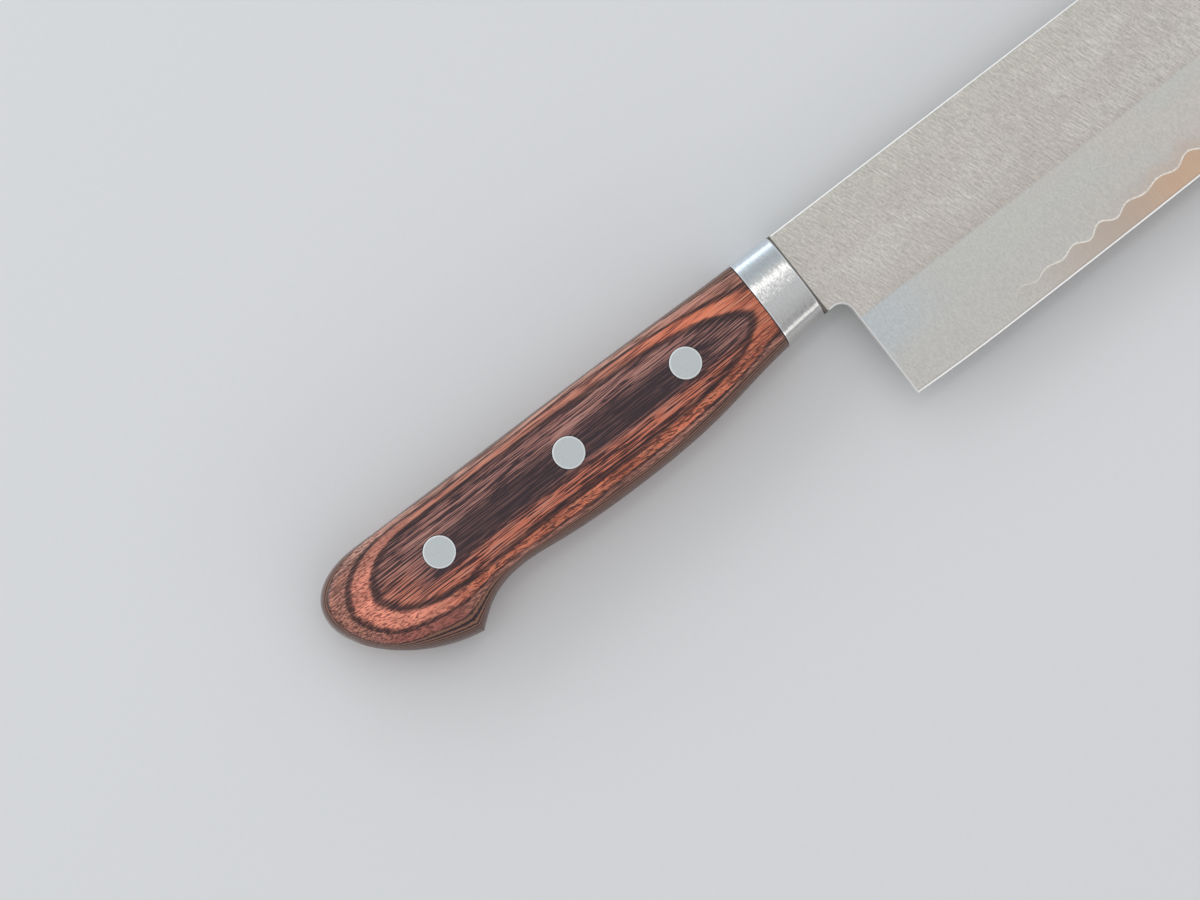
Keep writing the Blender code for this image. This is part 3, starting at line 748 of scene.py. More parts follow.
def blade_chains(sizes):
    """The chain over neck, choil, heel, edge and lower corner, and the one over spine and upper corner.

    Both have the same count of points and end where the straight tip starts, so that straight tip is the line
    between their last points.
    """
    start, choil, neck, fillet = OUTLINE_START, sizes.neck_length, -sizes.neck_depth, sizes.fillet
    heel_x, heel_y = choil + HEEL_RADIUS, float(edge_line(choil, choil)) + HEEL_RADIUS
    corner_x = TIP - LOWER_CORNER
    corner_y = float(edge_line(corner_x, choil)) + LOWER_CORNER
    edge_x = heel_x + (corner_x - heel_x) * np.linspace(0, 1, 230) ** 1.15
    lower = [
        np.linspace((start, neck), (choil - fillet, neck), 8),
        arc((choil - fillet, neck - fillet), fillet, 90, 0, 30),
        np.linspace((choil, neck - fillet), (choil, heel_y), 44),
        arc((heel_x, heel_y), HEEL_RADIUS, 180, 270, 6),
        np.c_[edge_x, edge_line(edge_x, choil)],
        arc((corner_x, corner_y), LOWER_CORNER, -90, 0, 18),
    ]
    lower = np.concatenate([part[:-1] for part in lower[:-1]] + lower[-1:])
    round_x, corner_steps = TIP - UPPER_CORNER, 32
    upper_x = start + (round_x - start) * np.linspace(0, 1, len(lower) - corner_steps + 1) ** 1.1
    corner = arc((round_x, spine_line(round_x) - UPPER_CORNER), UPPER_CORNER, 90, 0, corner_steps)
    return lower, np.concatenate([np.c_[upper_x, spine_line(upper_x)][:-1], corner])


def inward(chain, side):
    """Unit normals of a chain, turned by its side into the blade, and along X at its end."""
    along = np.gradient(chain, axis=0)
    along /= np.linalg.norm(along, axis=1, keepdims=True)
    normal = side * np.c_[-along[:, 1], along[:, 0]]
    normal[-1] = (-1, 0)
    return normal


def blade_half(points, sizes):
    """Half thickness: an even taper on the flat, and a straight bevel down to the edge's shoulder."""
    x, y = points[..., 0], points[..., 1]
    flat = (sizes.spine + (sizes.tip - sizes.spine) * x / TIP) / 2
    bottom = edge_line(x, sizes.neck_length) + sizes.arris
    way = np.clip((y - bottom) / (-sizes.bevel_top - bottom), 0, 1)
    return np.where(y > -sizes.bevel_top, flat, SHOULDER + (flat - SHOULDER) * way)


def blade_grid(sizes):
    """Points of the right face, as a main grid and a strip along the straight tip.

    Each column of the main grid steps inwards from both chains by the eased arris, and is straight between,
    with a row on the bevel's top line. The strip does the same from the last column out to the tip.
    """
    lower, upper = blade_chains(sizes)
    choil, count = sizes.neck_length, len(EASED_STEPS)
    steps = EASED_STEPS * sizes.arris
    up, low = [chain + steps[:, None, None] * inward(chain, k) for chain, k in ((upper, -1), (lower, 1))]
    near_heel = (lower[:, 0] < choil + HEEL_WIDTH) & (lower[:, 1] < -sizes.neck_depth - sizes.fillet)
    for axis, limit in ((0, choil), (1, float(edge_line(choil, choil)))):
        low[:, near_heel, axis] = np.maximum(low[:, near_heel, axis], limit + steps[:, None])
    top, bottom = up[-1], low[-1]
    to_line = (-sizes.bevel_top - top[:, 1]) / np.minimum(bottom[:, 1] - top[:, 1], -1e-6)
    to_line = np.clip(to_line, 0.08, 0.96)[:, None]
    soft = BEVEL_BLEND / np.maximum(np.linalg.norm(bottom - top, axis=1, keepdims=True), 1e-5)
    ways = [(to_line - soft) * w for w in np.linspace(0, 1, 13)[1:]] + [to_line]
    ways += [to_line + soft + (1 - to_line - soft) * w for w in np.linspace(0, 1, 10)[:-1]]
    flat = np.stack([*up, *[top + (bottom - top) * way for way in ways], *low[::-1]])
    half = blade_half(flat, sizes)
    drop = EASED_DROP * (1 - np.sqrt(np.clip(1 - (1 - EASED_STEPS) ** 2, 0, 1)))
    for rows, eased in ((half[:count], drop), (half[-count:], drop[::-1])):
        rows[:] = np.maximum(rows - eased[:, None], LEAST_SHARE * rows)
    on_edge = lower[:, 1] < edge_line(np.maximum(lower[:, 0], choil), choil) + EDGE_WIDTH
    on_edge &= lower[:, 0] >= choil
    keen = SHOULDER * np.minimum(steps / KEEN_WIDTH, 1)
    half[-count:][:, on_edge] = keen[::-1, None]
    half[0] = half[-1] = 0
    inner = flat[count - 1 : -count + 1, -1, 1]
    strip = np.stack([np.c_[np.full(len(inner), TIP - step), inner] for step in steps])
    strip_half = blade_half(strip, sizes)
    strip_half = np.maximum(strip_half - drop[:, None], LEAST_SHARE * strip_half)
    strip_half[0] = 0
    return [np.concatenate([at, z[:, :, None]], axis=2) for at, z in ((flat, half), (strip, strip_half))]


def blade_mesh(sizes):
    """Both grids and their mirror images, closed at the neck."""
    main, strip = blade_grid(sizes)
    rows, columns = main.shape[:2]
    points, faces, first = [], [], 0
    for grid in (main, main * (1, 1, -1), strip, strip * (1, 1, -1)):
        points.append(grid.reshape(-1, 3))
        faces += (grid_faces(*grid.shape[:2]) + first).tolist()
        first += len(points[-1])
    start = [row * columns for row in range(1, rows - 1)]
    cap = [0, *start, (rows - 1) * columns, *[rows * columns + k for k in reversed(start)]]
    mesh = make_mesh("ground_blade", np.concatenate(points), [*faces, cap])
    made = local_points(mesh)
    above = made[:, 1] - edge_line(made[:, 0], sizes.neck_length)
    lower, upper = blade_chains(sizes)
    inset = distance_to(made[:, :2], np.concatenate([upper, lower[::-1]]))
    write_map(mesh, "Edges", above / MM, inset / MM)
    return mesh


def core_line(s, x, sizes):
    """Depth of the wavy line between core and cladding: a cosine of X with a swelling height.

    Its crest number n lies at X = 36.2 + 6.6 n + 0.15 n^2 mm, so the waves grow longer towards the tip.
    """
    first, wave_length, growth = 36.2, 6.6, 0.15
    root = s.math("SQRT", (x - first) * (4 * growth) + wave_length**2)
    crest = s.math("COSINE", (root - wave_length) * (math.pi / growth))
    height = s.math("COSINE", (x - 57) * (2 * math.pi / 27)) * 0.25 + 0.6
    level = sizes.core_depth / MM - (x - 50) * 0.02
    return level - crest * height


def satin_flat(s, place, x, depth, sizes):
    """The flat above the bevel: slanting hair scratches on cloudy steel, and their height."""
    top = sizes.bevel_top / MM
    hair = hair_scratches(s, place, 70, 5.5, 0.15)
    nap = hair_scratches(s, place, 78, 1.2, 0.17, location=(9, 5, 0))["Height"]
    grain = hair["Height"] * 0.5 + nap * 0.5
    clouds = s.noise(place, (0.045, 0.11, 0.1))
    flat = s.mix(clouds.step(0.4, 0.6), sizes.flat_colour, CLOUDY_FLAT)
    flat = s.mix(depth.step(9, 1), flat, SPINE_FLAT)
    flat = s.mix(depth.step(top - 2.6, top - 0.2) * 0.22, flat, LOW_FLAT)
    flat = s.shade(flat, grain.slope(0.38, 0.62, 0.68, 1.28))
    flat = s.mix(hair["Deep"] * 0.3, flat, BRIGHT_SCRATCH)
    return s.mix(x.step(1.12, 0.98, 0, 0.85), flat, FERRULE_SHADOW), grain, nap, clouds


def ground_bevel(s, x, depth, nap, clouds, sizes):
    """The bevel: cool near the choil, warmer towards the edge and the tip."""
    cool = x.step(30, 5) * depth.step(41, 30)
    ground = s.mix(cool, sizes.bevel_colour, sizes.cool_colour)
    ground = s.mix(depth.step(31, 41) * 0.5, ground, LOW_BEVEL)
    blush = x.step(40, 85) * clouds.step(0.42, 0.6)
    ground = s.mix(blush * 0.5, ground, BLUSH)
    return s.shade(ground, nap.slope(0.38, 0.62, 0.91, 1.09))


def core_steel(s, place, x, depth, ground, sizes):
    """The warm core below the wavy line, with the line's pale ridge, laid over the bevel."""
    ragged = s.noise(place, (1.6, 2.2, 1), roughness=0.6)
    past = depth - core_line(s, x, sizes) + (ragged - 0.5) * 0.3
    lines = s.noise(place, (3.4, 0.1, 0.1), roughness=0.6)
    warm = s.mix(x.step(58, 78), sizes.core_colour, TIP_CORE)
    warm = s.shade(warm, lines.slope(0.35, 0.65, 0.965, 1.03))
    core = past.step(-0.05, 0.3) * x.step(28, 66, 0, 0.92)
    glow = past.step(-5, 0) * x.step(50, 80, 0, 0.55)
    ground = s.mix(core, s.mix(glow, ground, CORE_GLOW), warm)
    ridge = abs(past).step(0.27, 0.08) * x.step(28, 52)
    ridge = ridge * ragged.step(0.35, 0.6, 0.5, 1)
    return s.mix(ridge * 0.95, ground, CORE_RIDGE), ridge


def blade_look(sizes):
    """Forged steel: a satin flat, a smoother bevel, a warm core by the edge, and eased edges painted
    near-white as a highlight.
    """
    look, s = new_material("Blade steel", 1)
    place = s.knife_millimetres()
    x, y, _ = s.split(place)
    depth = y * -1
    top = sizes.bevel_top / MM
    bevel = depth.step(top - 0.4, top + 0.4)
    above, inset, _ = s.map_values("Edges")
    dots = s.noise(place, (2.2, 2.8, 2), detail=1)
    flat, grain, nap, clouds = satin_flat(s, place, x, depth, sizes)
    flat = s.mix(dots.step(0.7, 0.78, 0, 0.25), flat, BRIGHT_DOT)
    ground = ground_bevel(s, x, depth, nap, clouds, sizes)
    ground = s.mix(dots.step(0.7, 0.78, 0, 0.4), ground, BRIGHT_DOT)
    ground, ridge = core_steel(s, place, x, depth, ground, sizes)
    ground = s.mix(above.step(0.9, 0.35, 0, 0.25), ground, EDGE_SHADOW)
    # Painted highlight: the keen edge is painted near-white in place of the glint of light along it
    ground = s.mix(above.step(0.36, 0.3), ground, KEEN_EDGE_HIGHLIGHT)
    # Painted highlight: the eased edges, away from the neck, are painted near-white in place of the light they
    # catch
    eased = inset.step(0.4, 0.22) * x.step(1.2, 1.6)
    tint = s.mix(eased, s.mix(bevel, flat, ground), EASED_EDGE_HIGHLIGHT)
    level = s.blend(bevel, sizes.roughness - 0.05, sizes.roughness - 0.08)
    relief = grain * bevel.step(0, 1, 1, 0.25) + ridge * 0.5
    s.dress(tint, worn_roughness(s, place, level, 0.1), relief, 0.5, 0.00006)
    return look


# Ferrule


def ferrule_mesh(sizes):
    """A drawn cup: the handle's section carried along X, rounded at the front and closed down to the slot.

    The slot is the box round the tang; each point of the front wall goes straight to the slot's rim.
    """
    back, rounding = FERRULE_BACK, sizes.rounding
    places = [(back + WALL_REACH, -sizes.wall), (back, -sizes.wall)]
    places += [(back + ahead, inset) for ahead, inset in BACK_RIM]
    places += [(x, 0) for x in np.linspace(back, -rounding, 9)[1:]]
    for angle in np.radians(np.linspace(0, 90, 9)[1:]):
        places.append((-rounding * (1 - math.sin(angle)), -rounding * (1 - math.cos(angle))))
    rows = []
    for x, inset in places:
        row = handle_section(min(x, -rounding), sizes.proud + inset)
        row[:, 0] = x
        rows.append(row)
    away = rows[-1] - SLOT_CENTRE
    shrink = (SLOT / np.maximum(np.abs(away[:, 1:]), 1e-9)).min(axis=1)
    slot = SLOT_CENTRE + away * np.minimum(shrink, 1)[:, None]
    rows += [rows[-1] + (slot - rows[-1]) * 0.5, slot, slot - (SLOT_DEPTH, 0, 0)]
    count = len(slot)
    faces = grid_faces(len(rows), count, closed=True)
    closing = [(len(rows) - 1) * count + k for k in range(count)]
    opening = list(range(count))[::-1]
    return make_mesh("drawn_ferrule", np.concatenate(rows), [*faces.tolist(), closing, opening])


def ferrule_look(sizes):
    """Stainless steel with short marks round the handle, from the belt, and a mottled polish between them."""
    look, s = new_material("Ferrule stainless", 1)
    place = s.knife_millimetres()
    x, y, _ = s.split(place)
    belt = hair_scratches(s, place, 87, 1.5, 0.2)["Height"]
    strokes = s.noise(place, (3, 0.9, 0.9), detail=1)
    mottle = s.noise(place, (1.7, 0.9, 0.9), detail=3, roughness=0.6)
    # Painted reflection: darker and bluish towards the spine side
    tint = s.mix(y.step(-7, -4), sizes.metal, SPINE_SIDE_REFLECTION)
    # Painted highlight: bright and bluish at the spine corner
    tint = s.mix(y.step(-4, -1.4), tint, SPINE_CORNER_HIGHLIGHT)
    # Painted shade: darker towards the belly side
    tint = s.mix(y.step(-12, -15.5) * 0.5, tint, BELLY_SIDE_SHADE)
    rub = abs(y + 16.6).step(0.9, 0.2) * mottle.step(0.5, 0.7)
    tint = s.mix(rub * 0.4, tint, RUB_MARK)
    tint = s.shade(tint, belt.slope(0.3, 0.7, 0.91, 1.09))
    back = FERRULE_BACK / MM
    # Painted highlight: pale bands at the back rim and just behind the front rounding
    front_rim_highlight = x.step(-0.5, -0.3) * x.step(-0.02, -0.12)
    rim = s.math("MAXIMUM", x.step(back + 0.35, back + 0.15), front_rim_highlight)
    rough = strokes.step(0.35, 0.65, sizes.roughness - 0.03, sizes.roughness + 0.06)
    rough = rough + y.step(-5, -2, 0, 0.14)
    s.dress(s.mix(rim * 0.7, tint, FERRULE_RIM_HIGHLIGHT), rough, belt * 0.4 + strokes, 0.5, 0.00006)
    return look


# Handle scales


def veneer_number(points):
    """How many glue lines lie between the middle of the face and each point.

    From one line to the next the number grows with the share of the distance between them. Inside the first
    line it falls towards 0. On the wall outside the third one it grows by one for each veneer's thickness.
    """
    flat, height = points[:, :2], np.abs(points[:, 2])
    first = smooth_line(FIRST_GLUE_LINE, closed=True)
    second, third = smooth_line(SECOND_GLUE_LINE), smooth_line(THIRD_GLUE_LINE)
    to_first, to_second, to_third = [distance_to(flat, line) for line in (first, second, third)]
    nearest = np.argmin(np.linalg.norm(flat[:, None] - third[None], axis=2), axis=1)
    wall = 3 + np.maximum(face_height(third)[nearest] - height, 0) / VENEER
    number = np.where(enclosed(flat, third), 2 + to_second / (to_second + to_third), wall)
    number = np.where(enclosed(flat, second), 1 + to_first / (to_first + to_second), number)
    return np.where(enclosed(flat, first), 1 - np.minimum(to_first / MIDDLE_REACH, 1), number)


def scale_grid(sizes):
    """Columns over the face, from points of the outline straight to the middle line."""
    fine = HOOK + HOOK_EDGE_LENGTH
    grip = np.linspace(FERRULE_BACK - 0.02 * MM, fine, 150)
    x = np.concatenate([grip, np.linspace(fine, HOOK, 52)[1:], np.linspace(HOOK, FAN, 26)[1:]])
    rim = outline(x, 100)
    middle = np.c_[x, np.full_like(x, -MIDDLE_DEPTH)]
    goal = np.concatenate([middle, np.repeat(middle[-1:], len(rim) - 2 * len(x), axis=0), middle[::-1]])
    flat = face_columns(rim, goal, 16, 26)
    height = face_height(flat.reshape(-1, 2)).reshape(flat.shape[:2])
    height[:, 0] = 0
    height = np.maximum(height, sizes.seam / 2)
    return np.concatenate([flat, height[:, :, None]], axis=2)


def scale_mesh(name, side, sizes, seats):
    """One scale, its seam face and front closed, with a seat cut for each rivet head."""
    grid = scale_grid(sizes)
    columns, rows = grid.shape[:2]
    seam = grid[:, -1].copy()
    seam[:, 2] = sizes.seam / 2
    points = np.concatenate([grid.reshape(-1, 3), seam]) * (1, 1, side)
    first = np.arange(columns - 1)
    rim, low = first * rows, columns * rows + first
    closing = np.c_[rim, rim + rows, low + 1, low]
    front = list(range(rows)) + [(columns - 1) * rows + k for k in reversed(range(rows))]
    front += [columns * rows + columns - 1, columns * rows]
    mesh = make_mesh(name, points, [*grid_faces(columns, rows).tolist(), *closing.tolist(), front])
    mesh = cut_seats(mesh, side, seats)
    write_map(mesh, "Veneers", veneer_number(local_points(mesh)))
    return mesh


def cut_seats(mesh, side, seats):
    """Takes a round seat out of the scale for each rivet head, with an exact Boolean."""
    piece = add_object("seat_work", mesh)
    lid = list(range(CIRCLE_POINTS))
    faces = grid_faces(2, CIRCLE_POINTS, closed=True).tolist() + [lid, [k + CIRCLE_POINTS for k in lid]]
    cutters = []
    for centre, radius, floor in seats:
        ring = centre + radius * CIRCLE
        points = [np.c_[ring, np.full(CIRCLE_POINTS, side * z)] for z in (floor, SEAT_TOP)]
        cutters.append(add_object("seat_cutter", make_mesh("seat_cutter", np.concatenate(points), faces)))
        modifier = piece.modifiers.new("Seat", "BOOLEAN")
        modifier.operation, modifier.solver, modifier.object = "DIFFERENCE", "EXACT", cutters[-1]
    graph = bpy.context.evaluated_depsgraph_get()
    made = bpy.data.meshes.new_from_object(piece.evaluated_get(graph))
    name = mesh.name
    for item in (piece, *cutters):
        data = item.data
        bpy.data.objects.remove(item)
        bpy.data.meshes.remove(data)
    made.name = name
    return made


def wood_grain(s, place):
    """Streaks along X, slanting pores, short flecks and broad blotches, all between 0 and 1."""
    sway = s.noise(place, (0.03, 0.08, 0.08))
    grain = s.vector("ADD", place, s.combine(0, sway * 2.4, 0))
    streak = s.noise(grain, (0.06, 3.5, 2.2), detail=1)
    thread = s.noise(grain, (0.22, 5, 3.2), detail=1, location=(3, 1, 7))
    pores = s.noise(s.turned(place, 15), (0.55, 3, 2), roughness=0.6)
    flecks = s.noise(s.turned(place, 12), (1, 3.6, 2), detail=1)
    blotch = s.noise(place, (0.06, 0.32, 0.3))
    return streak * 0.58 + thread * 0.42, pores, flecks, blotch


def middle_veneer(s, sizes, x, y, comb, blotch):
    """Streaks on a dark ground, dim in a band along the rivets and warm near the belly and the butt."""
    off_band = abs(y + 10.8).step(1.2, 5.2)
    ends = s.math("MAXIMUM", x.step(-90, -102), x.step(-36, -20, 0, 0.7))
    clear = s.math("MAXIMUM", off_band, ends)
    over = comb - (0.542 - clear * 0.045 + (blotch - 0.5) * 0.16)
    lit = over.step(-0.023, 0.023) * clear.step(0, 1, 0.22, 1)
    near_butt = x.step(-96, -106) * y.step(-6, -13, 0.15, 0.85)
    warmer = s.math("MAXIMUM", y.step(-13.2, -16.2), near_butt) * 0.8
    light = s.mix(warmer, sizes.light_grain, sizes.orange_wood)
    light = s.mix(over.step(0.05, 0.14, 0, 0.5), light, PALE_STREAK)
    ground = s.mix(clear * 0.8, sizes.dark_wood, CLEAR_GROUND)
    return s.mix(lit, s.mix(warmer, ground, WARM_GROUND), light)


def outer_veneers(s, sizes, x, y, comb, pores, flecks, blotch):
    """The orange second veneer, the pale third one, and the mask of their open pores."""
    near_butt = x.step(-88, -106)
    at_butt = x.step(-98, -106)
    # Painted light: the second veneer turns lighter and pinker towards the butt, as if more light fell there
    warm = s.mix(near_butt, sizes.orange_wood, sizes.lit_butt_wood)
    warm = s.shade(warm, blotch.step(0.35, 0.65, 0.72, 1.2))
    warm = s.mix(y.step(-6, -2.5) * x.step(-26, -48, 0, 0.75), warm, sizes.pink_wood)
    warm = s.mix(comb.step(0.52, 0.64, 0, 0.55), warm, ORANGE_STREAK)
    pale = s.shade(sizes.pink_wood, comb.step(0.4, 0.6, 0.55, 1.3))
    # Cream streaks near the spine edge: partly the pale veneer's grain, partly a painted sheen where light
    # catches that edge
    pale = s.mix(y.step(-2, -0.2) * comb.step(0.44, 0.58, 0.2, 0.8), pale, CREAM_STREAK_AND_SHEEN)
    pale = s.mix(x.step(-92, -100) * y.step(-15, -20, 0, 0.8), pale, LOW_BUTT)
    freckled = flecks.slope(0.36, 0.64, 0.76, 1.2)
    warm, pale = [s.mix(at_butt, wood, s.shade(wood, freckled)) for wood in (warm, pale)]
    hollow = comb.step(0.49, 0.42, 0, 0.95) * near_butt.step(0, 1, 1, 0.4)
    mottled = s.math("MAXIMUM", y.step(-13, -18), near_butt)
    short = s.blend(at_butt, pores, flecks).step(0.465, 0.425) * mottled
    pore = s.math("MAXIMUM", short, hollow)
    speck = s.mix(near_butt, DARK_PORE, BUTT_PORE)
    warm = s.mix(pore * near_butt.step(0, 1, 0.9, 0.75), warm, speck)
    return warm, s.mix(pore * 0.65, pale, PALE_PORE), pore


def wood_look(sizes):
    """Laminated dyed veneers: the veneer number picks the colour, and stretched noises draw the grain.

    All veneers have fine streaks along X. Those outside the middle one also have slanting pores, more of them
    towards the belly and the butt. A dark feathered line lies at each whole number.
    """
    look, s = new_material("Laminated wood", 0)
    s.surface.inputs["Specular IOR Level"].default_value = 0.4
    place = s.knife_millimetres()
    x, y, _ = s.split(place)
    number = s.map_values("Veneers")[0]
    comb, pores, flecks, blotch = wood_grain(s, place)
    middle = middle_veneer(s, sizes, x, y, comb, blotch)
    warm, pale, pore = outer_veneers(s, sizes, x, y, comb, pores, flecks, blotch)

    feather = s.noise(place, (0.3, 5, 1.8), detail=3, roughness=0.65)
    drift = s.noise(place, (0.06, 0.25, 0.2))
    warped = number + (feather * 0.4 + drift * 0.12 - 0.26)
    wood = s.mix(warped.step(0.92, 1.12), middle, warm)
    wood = s.mix(warped.step(1.95, 2.1), wood, pale)
    wave = s.math("SINE", warped * (2 * math.pi))
    edges = s.mix(wave.step(-0.45, 0.35), sizes.glue, sizes.edge_wood)
    wood = s.mix(warped.step(2.95, 3.05), wood, edges)
    wood = s.mix(warped.step(5, 8, 0, 0.35), wood, WALL_SHADE)
    streaky = comb.step(0.62, 0.48, 0.72, 1)
    for at, inner, outer, strength in FACE_GLUE_LINES:
        past = warped - at
        sides = past.step(-inner, -inner * 0.3), past.step(outer, outer * 0.3)
        wood = s.mix(s.math("MINIMUM", *sides) * strength * streaky, wood, sizes.glue)
    back = FERRULE_BACK / MM
    # Painted shade: a dark line on the wood just behind the ferrule's back edge, in place of the shade in the
    # gap
    wood = s.mix(x.step(back - 0.35, back - 0.1, 0, 0.9), wood, FERRULE_SEAM_SHADE)
    rough = worn_roughness(s, place, sizes.roughness - 0.08, 0.16) + pore * 0.12
    polished = warped.step(2.55, 2.9) * y.step(-16, -13)
    s.dress(wood, s.blend(polished, rough, 0.14), comb * 0.8 - pore * 0.4, 0.25, 0.00012)
    return look


# Rivets


def rivet_place(name):
    """Centre of a rivet in the knife's frame, from its CAD sleeve."""
    low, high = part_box(f"rivet_{name}_sleeve")
    return np.array([(low.x + high.x) / 2, (low.y + high.y) / 2]) - ZERO[:2]


def head_mesh(name, centre, side, sizes):
    """A flat head with an eased rim, turned about Z, whose top follows the wood round it."""
    radius = sizes.head / 2
    bend = np.radians(np.linspace(90, 0, 6))
    profile = [(0, 0)] + [(r, 0) for r in np.linspace(0, radius - RIM_EASE, 7)[1:]]
    for a in bend[1:]:
        profile.append((radius - RIM_EASE + RIM_EASE * math.cos(a), -RIM_EASE + RIM_EASE * math.sin(a)))
    profile = np.array(profile + [(radius, -sizes.depth), (0, -sizes.depth)])
    out, up = profile[:, 0], profile[:, 1, None]
    flat = centre + out[:, None, None] * CIRCLE
    top = face_height(flat.reshape(-1, 2)).reshape(flat.shape[:2])
    z = np.where(up > -sizes.depth, top, face_height(centre[None])[0]) + up
    points = np.concatenate([flat, z[:, :, None]], axis=2).reshape(-1, 3) * (1, 1, side)
    mesh = make_mesh(name, points, grid_faces(len(profile), CIRCLE_POINTS, closed=True))
    write_map(mesh, "Rim", np.linalg.norm(local_points(mesh)[:, :2] - centre, axis=1) / MM)
    return mesh


def rivet_look(sizes):
    """Sanded metal with fine crossed scratches, a few dull spots and a rim painted bright as a highlight."""
    look, s = new_material("Rivet metal", 1)
    place = s.knife_millimetres()
    hair = hair_scratches(s, place, 12, 3, 0.09)["Height"]
    spots = s.noise(place, (1.3, 1.3, 1.3))
    tint = s.mix(spots.step(0.62, 0.72, 0, 0.25), sizes.metal, DULL_SPOT)
    tint = s.shade(tint, hair * 0.16 + 0.92)
    radius = sizes.head / 2 / MM
    from_centre = s.map_values("Rim")[0]
    # Painted highlight: paler towards the rim of each head
    tint = s.mix(from_centre.step(radius - 0.45, radius - 0.25, 0, 0.6), tint, RIVET_RIM_HIGHLIGHT)
    s.dress(tint, worn_roughness(s, place, sizes.roughness - 0.06, 0.12), hair, 0.15, 0.00004)
    return look


# Operators


class NAKIRI_OT_blade(bpy.types.Operator):
    """Build the ground blade with its bevel, core line and eased edges"""

    bl_idname = "nakiri.blade"
    bl_label = "Blade"

    def execute(self, context):
        sizes = context.scene.nakiri_blade
        add_piece(blade_mesh(sizes), blade_look(sizes), ["blade"], 40)
        return {"FINISHED"}


class NAKIRI_OT_ferrule(bpy.types.Operator):
    """Build the drawn ferrule round the neck"""

    bl_idname = "nakiri.ferrule"
    bl_label = "Ferrule"

    def execute(self, context):
        sizes = context.scene.nakiri_ferrule
        add_piece(ferrule_mesh(sizes), ferrule_look(sizes), ["ferrule"], 35)
        return {"FINISHED"}


class NAKIRI_OT_handle_scales(bpy.types.Operator):
    """Build the two laminated scales with the seats for the rivets"""

    bl_idname = "nakiri.handle_scales"
    bl_label = "Handle Scales"

    def execute(self, context):
        sizes, metal = context.scene.nakiri_handle, context.scene.nakiri_rivets
        look = wood_look(sizes)
        seats = []
        for centre in map(rivet_place, RIVETS):
            floor = float(face_height(centre[None])[0]) - metal.depth
            seats.append((centre, metal.head / 2 + metal.gap, floor))
        for name, side in (("right", 1), ("left", -1)):
            mesh = scale_mesh(f"wood_scale_{name}", side, sizes, seats)
            add_piece(mesh, look, [f"handle_scale_{name}"], 50)
        return {"FINISHED"}


class NAKIRI_OT_rivets(bpy.types.Operator):
    """Build the six rivet heads, flush with the wood"""

    bl_idname = "nakiri.rivets"
    bl_label = "Rivets"

    def execute(self, context):
        sizes = context.scene.nakiri_rivets
        look = rivet_look(sizes)
        for name in RIVETS:
            for part, side in (("sleeve", 1), ("stud", -1)):
                mesh = head_mesh(f"{name}_rivet_{part}_head", rivet_place(name), side, sizes)
                add_piece(mesh, look, [f"rivet_{name}_{part}"], 50)
        return {"FINISHED"}


class NAKIRI_OT_stage(bpy.types.Operator):
    """Build the floor, the lamps and the camera"""

    bl_idname = "nakiri.stage"
    bl_label = "Stage"

    def execute(self, context):
        sizes = context.scene.nakiri_stage
        right = np.array([math.cos(sizes.turn), -math.sin(sizes.turn), 0])
        ground = np.array([math.sin(sizes.turn), math.cos(sizes.turn), 0])
        up = math.cos(sizes.tilt) * ground + (0, 0, math.sin(sizes.tilt))
        ahead = math.sin(sizes.tilt) * ground - (0, 0, math.cos(sizes.tilt))
        add_camera(sizes, right, ground, up, ahead)
        add_floor(sizes)
        for name, shift, size, power, tint in LAMPS:
            add_area(name, Vector(shift), size, power * sizes.light, tint)
        light_world(context.scene)
        context.scene.view_settings.view_transform = "Standard"
        return {"FINISHED"}


def add_camera(sizes, right, ground, up, ahead):
    """Places the camera so that the ferrule's front corner is seen at CORNER_SEEN."""
    across, above = [pixels / FOCAL for pixels in CORNER_SEEN]
    forward = above * sizes.distance / (math.cos(sizes.tilt) - above * math.sin(sizes.tilt))
    depth = sizes.distance + forward * math.sin(sizes.tilt)
    target = ZERO + (CORNER_SHIFT, 0, 0) - across * depth * right - forward * ground
    data = bpy.data.cameras.new("Camera")
    data.sensor_width = SENSOR_WIDTH
    data.lens = SENSOR_WIDTH * FOCAL / PICTURE_WIDTH
    data.clip_start, data.clip_end = 0.05, 20
    camera = add_object("Camera", data)
    turn = Matrix((right, up, -ahead)).transposed().to_4x4()
    camera.matrix_world = Matrix.Translation(Vector(target - sizes.distance * ahead)) @ turn
    bpy.context.scene.camera = camera


def add_floor(sizes):
    """A wide plane under the knife, with a slight tooth."""
    mesh = bpy.data.meshes.new("floor")
    corners = [(x * FLOOR_REACH, y * FLOOR_REACH, 0) for x, y in ((-1, -1), (1, -1), (1, 1), (-1, 1))]
    mesh.from_pydata(corners, [], [(0, 1, 2, 3)])
    look, s = new_material("Floor", 0)
    tooth = s.noise(s.knife_millimetres(), (0.8, 0.8, 0.8), detail=3, roughness=0.6)
    s.dress(s.shade(sizes.floor, tooth * 0.03 + 0.985), 0.75, tooth, 0.1, 0.0001)
    mesh.materials.append(look)
    floor = add_object("floor", mesh)


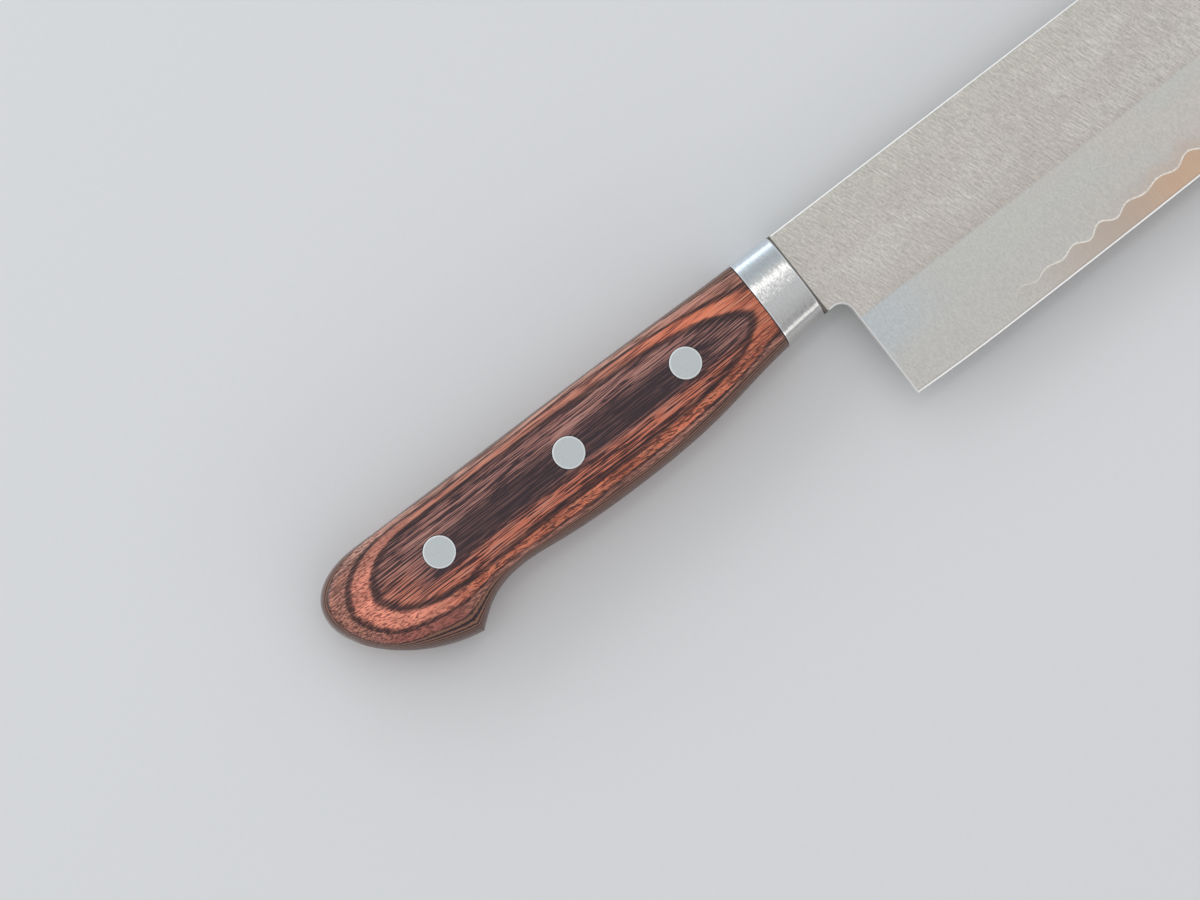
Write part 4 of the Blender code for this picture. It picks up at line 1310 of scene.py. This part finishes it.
def add_area(name, shift, size, power, tint):
    """A rectangular lamp that looks at the ferrule's front."""
    data = bpy.data.lights.new(name, "AREA")
    data.shape = "RECTANGLE"
    data.size, data.size_y = size
    data.energy = power
    data.color = tint
    lamp = add_object(name, data)
    lamp.location = Vector(ZERO) + shift
    lamp.rotation_mode = "QUATERNION"
    lamp.rotation_quaternion = (-shift).to_track_quat("-Z", "Y")


def light_world(scene):
    """An even pale surround."""
    world = bpy.data.worlds.new("Surround")
    world.use_nodes = True
    back = world.node_tree.nodes["Background"]
    back.inputs[0].default_value = SURROUND
    back.inputs[1].default_value = SURROUND_STRENGTH
    scene.world = world


class NAKIRI_PT_panel(bpy.types.Panel):
    """Lists the knife's pieces in the 3D view's sidebar"""

    bl_idname = "NAKIRI_PT_panel"
    bl_label = "Nakiri"
    bl_space_type = "VIEW_3D"
    bl_region_type = "UI"
    bl_category = "Nakiri"

    def draw(self, context):
        for operator, settings, _ in PIECES:
            box = self.layout.box()
            box.operator(operator.bl_idname)
            group = getattr(context.scene, settings)
            for name in group.__annotations__:
                box.prop(group, name)


PIECES = (
    (NAKIRI_OT_stage, "nakiri_stage", StageSettings),
    (NAKIRI_OT_blade, "nakiri_blade", BladeSettings),
    (NAKIRI_OT_ferrule, "nakiri_ferrule", FerruleSettings),
    (NAKIRI_OT_handle_scales, "nakiri_handle", HandleSettings),
    (NAKIRI_OT_rivets, "nakiri_rivets", RivetSettings),
)


def register():
    for operator, name, settings in PIECES:
        bpy.utils.register_class(settings)
        setattr(bpy.types.Scene, name, PointerProperty(type=settings))
        bpy.utils.register_class(operator)
    bpy.utils.register_class(NAKIRI_PT_panel)


def unregister():
    bpy.utils.unregister_class(NAKIRI_PT_panel)
    for operator, name, settings in reversed(PIECES):
        bpy.utils.unregister_class(operator)
        delattr(bpy.types.Scene, name)
        bpy.utils.unregister_class(settings)


def main():
    register()
    bpy.ops.nakiri.stage()
    bpy.ops.nakiri.blade()
    bpy.ops.nakiri.ferrule()
    bpy.ops.nakiri.handle_scales()
    bpy.ops.nakiri.rivets()
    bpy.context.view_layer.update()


if __name__ == "__main__":
    main()
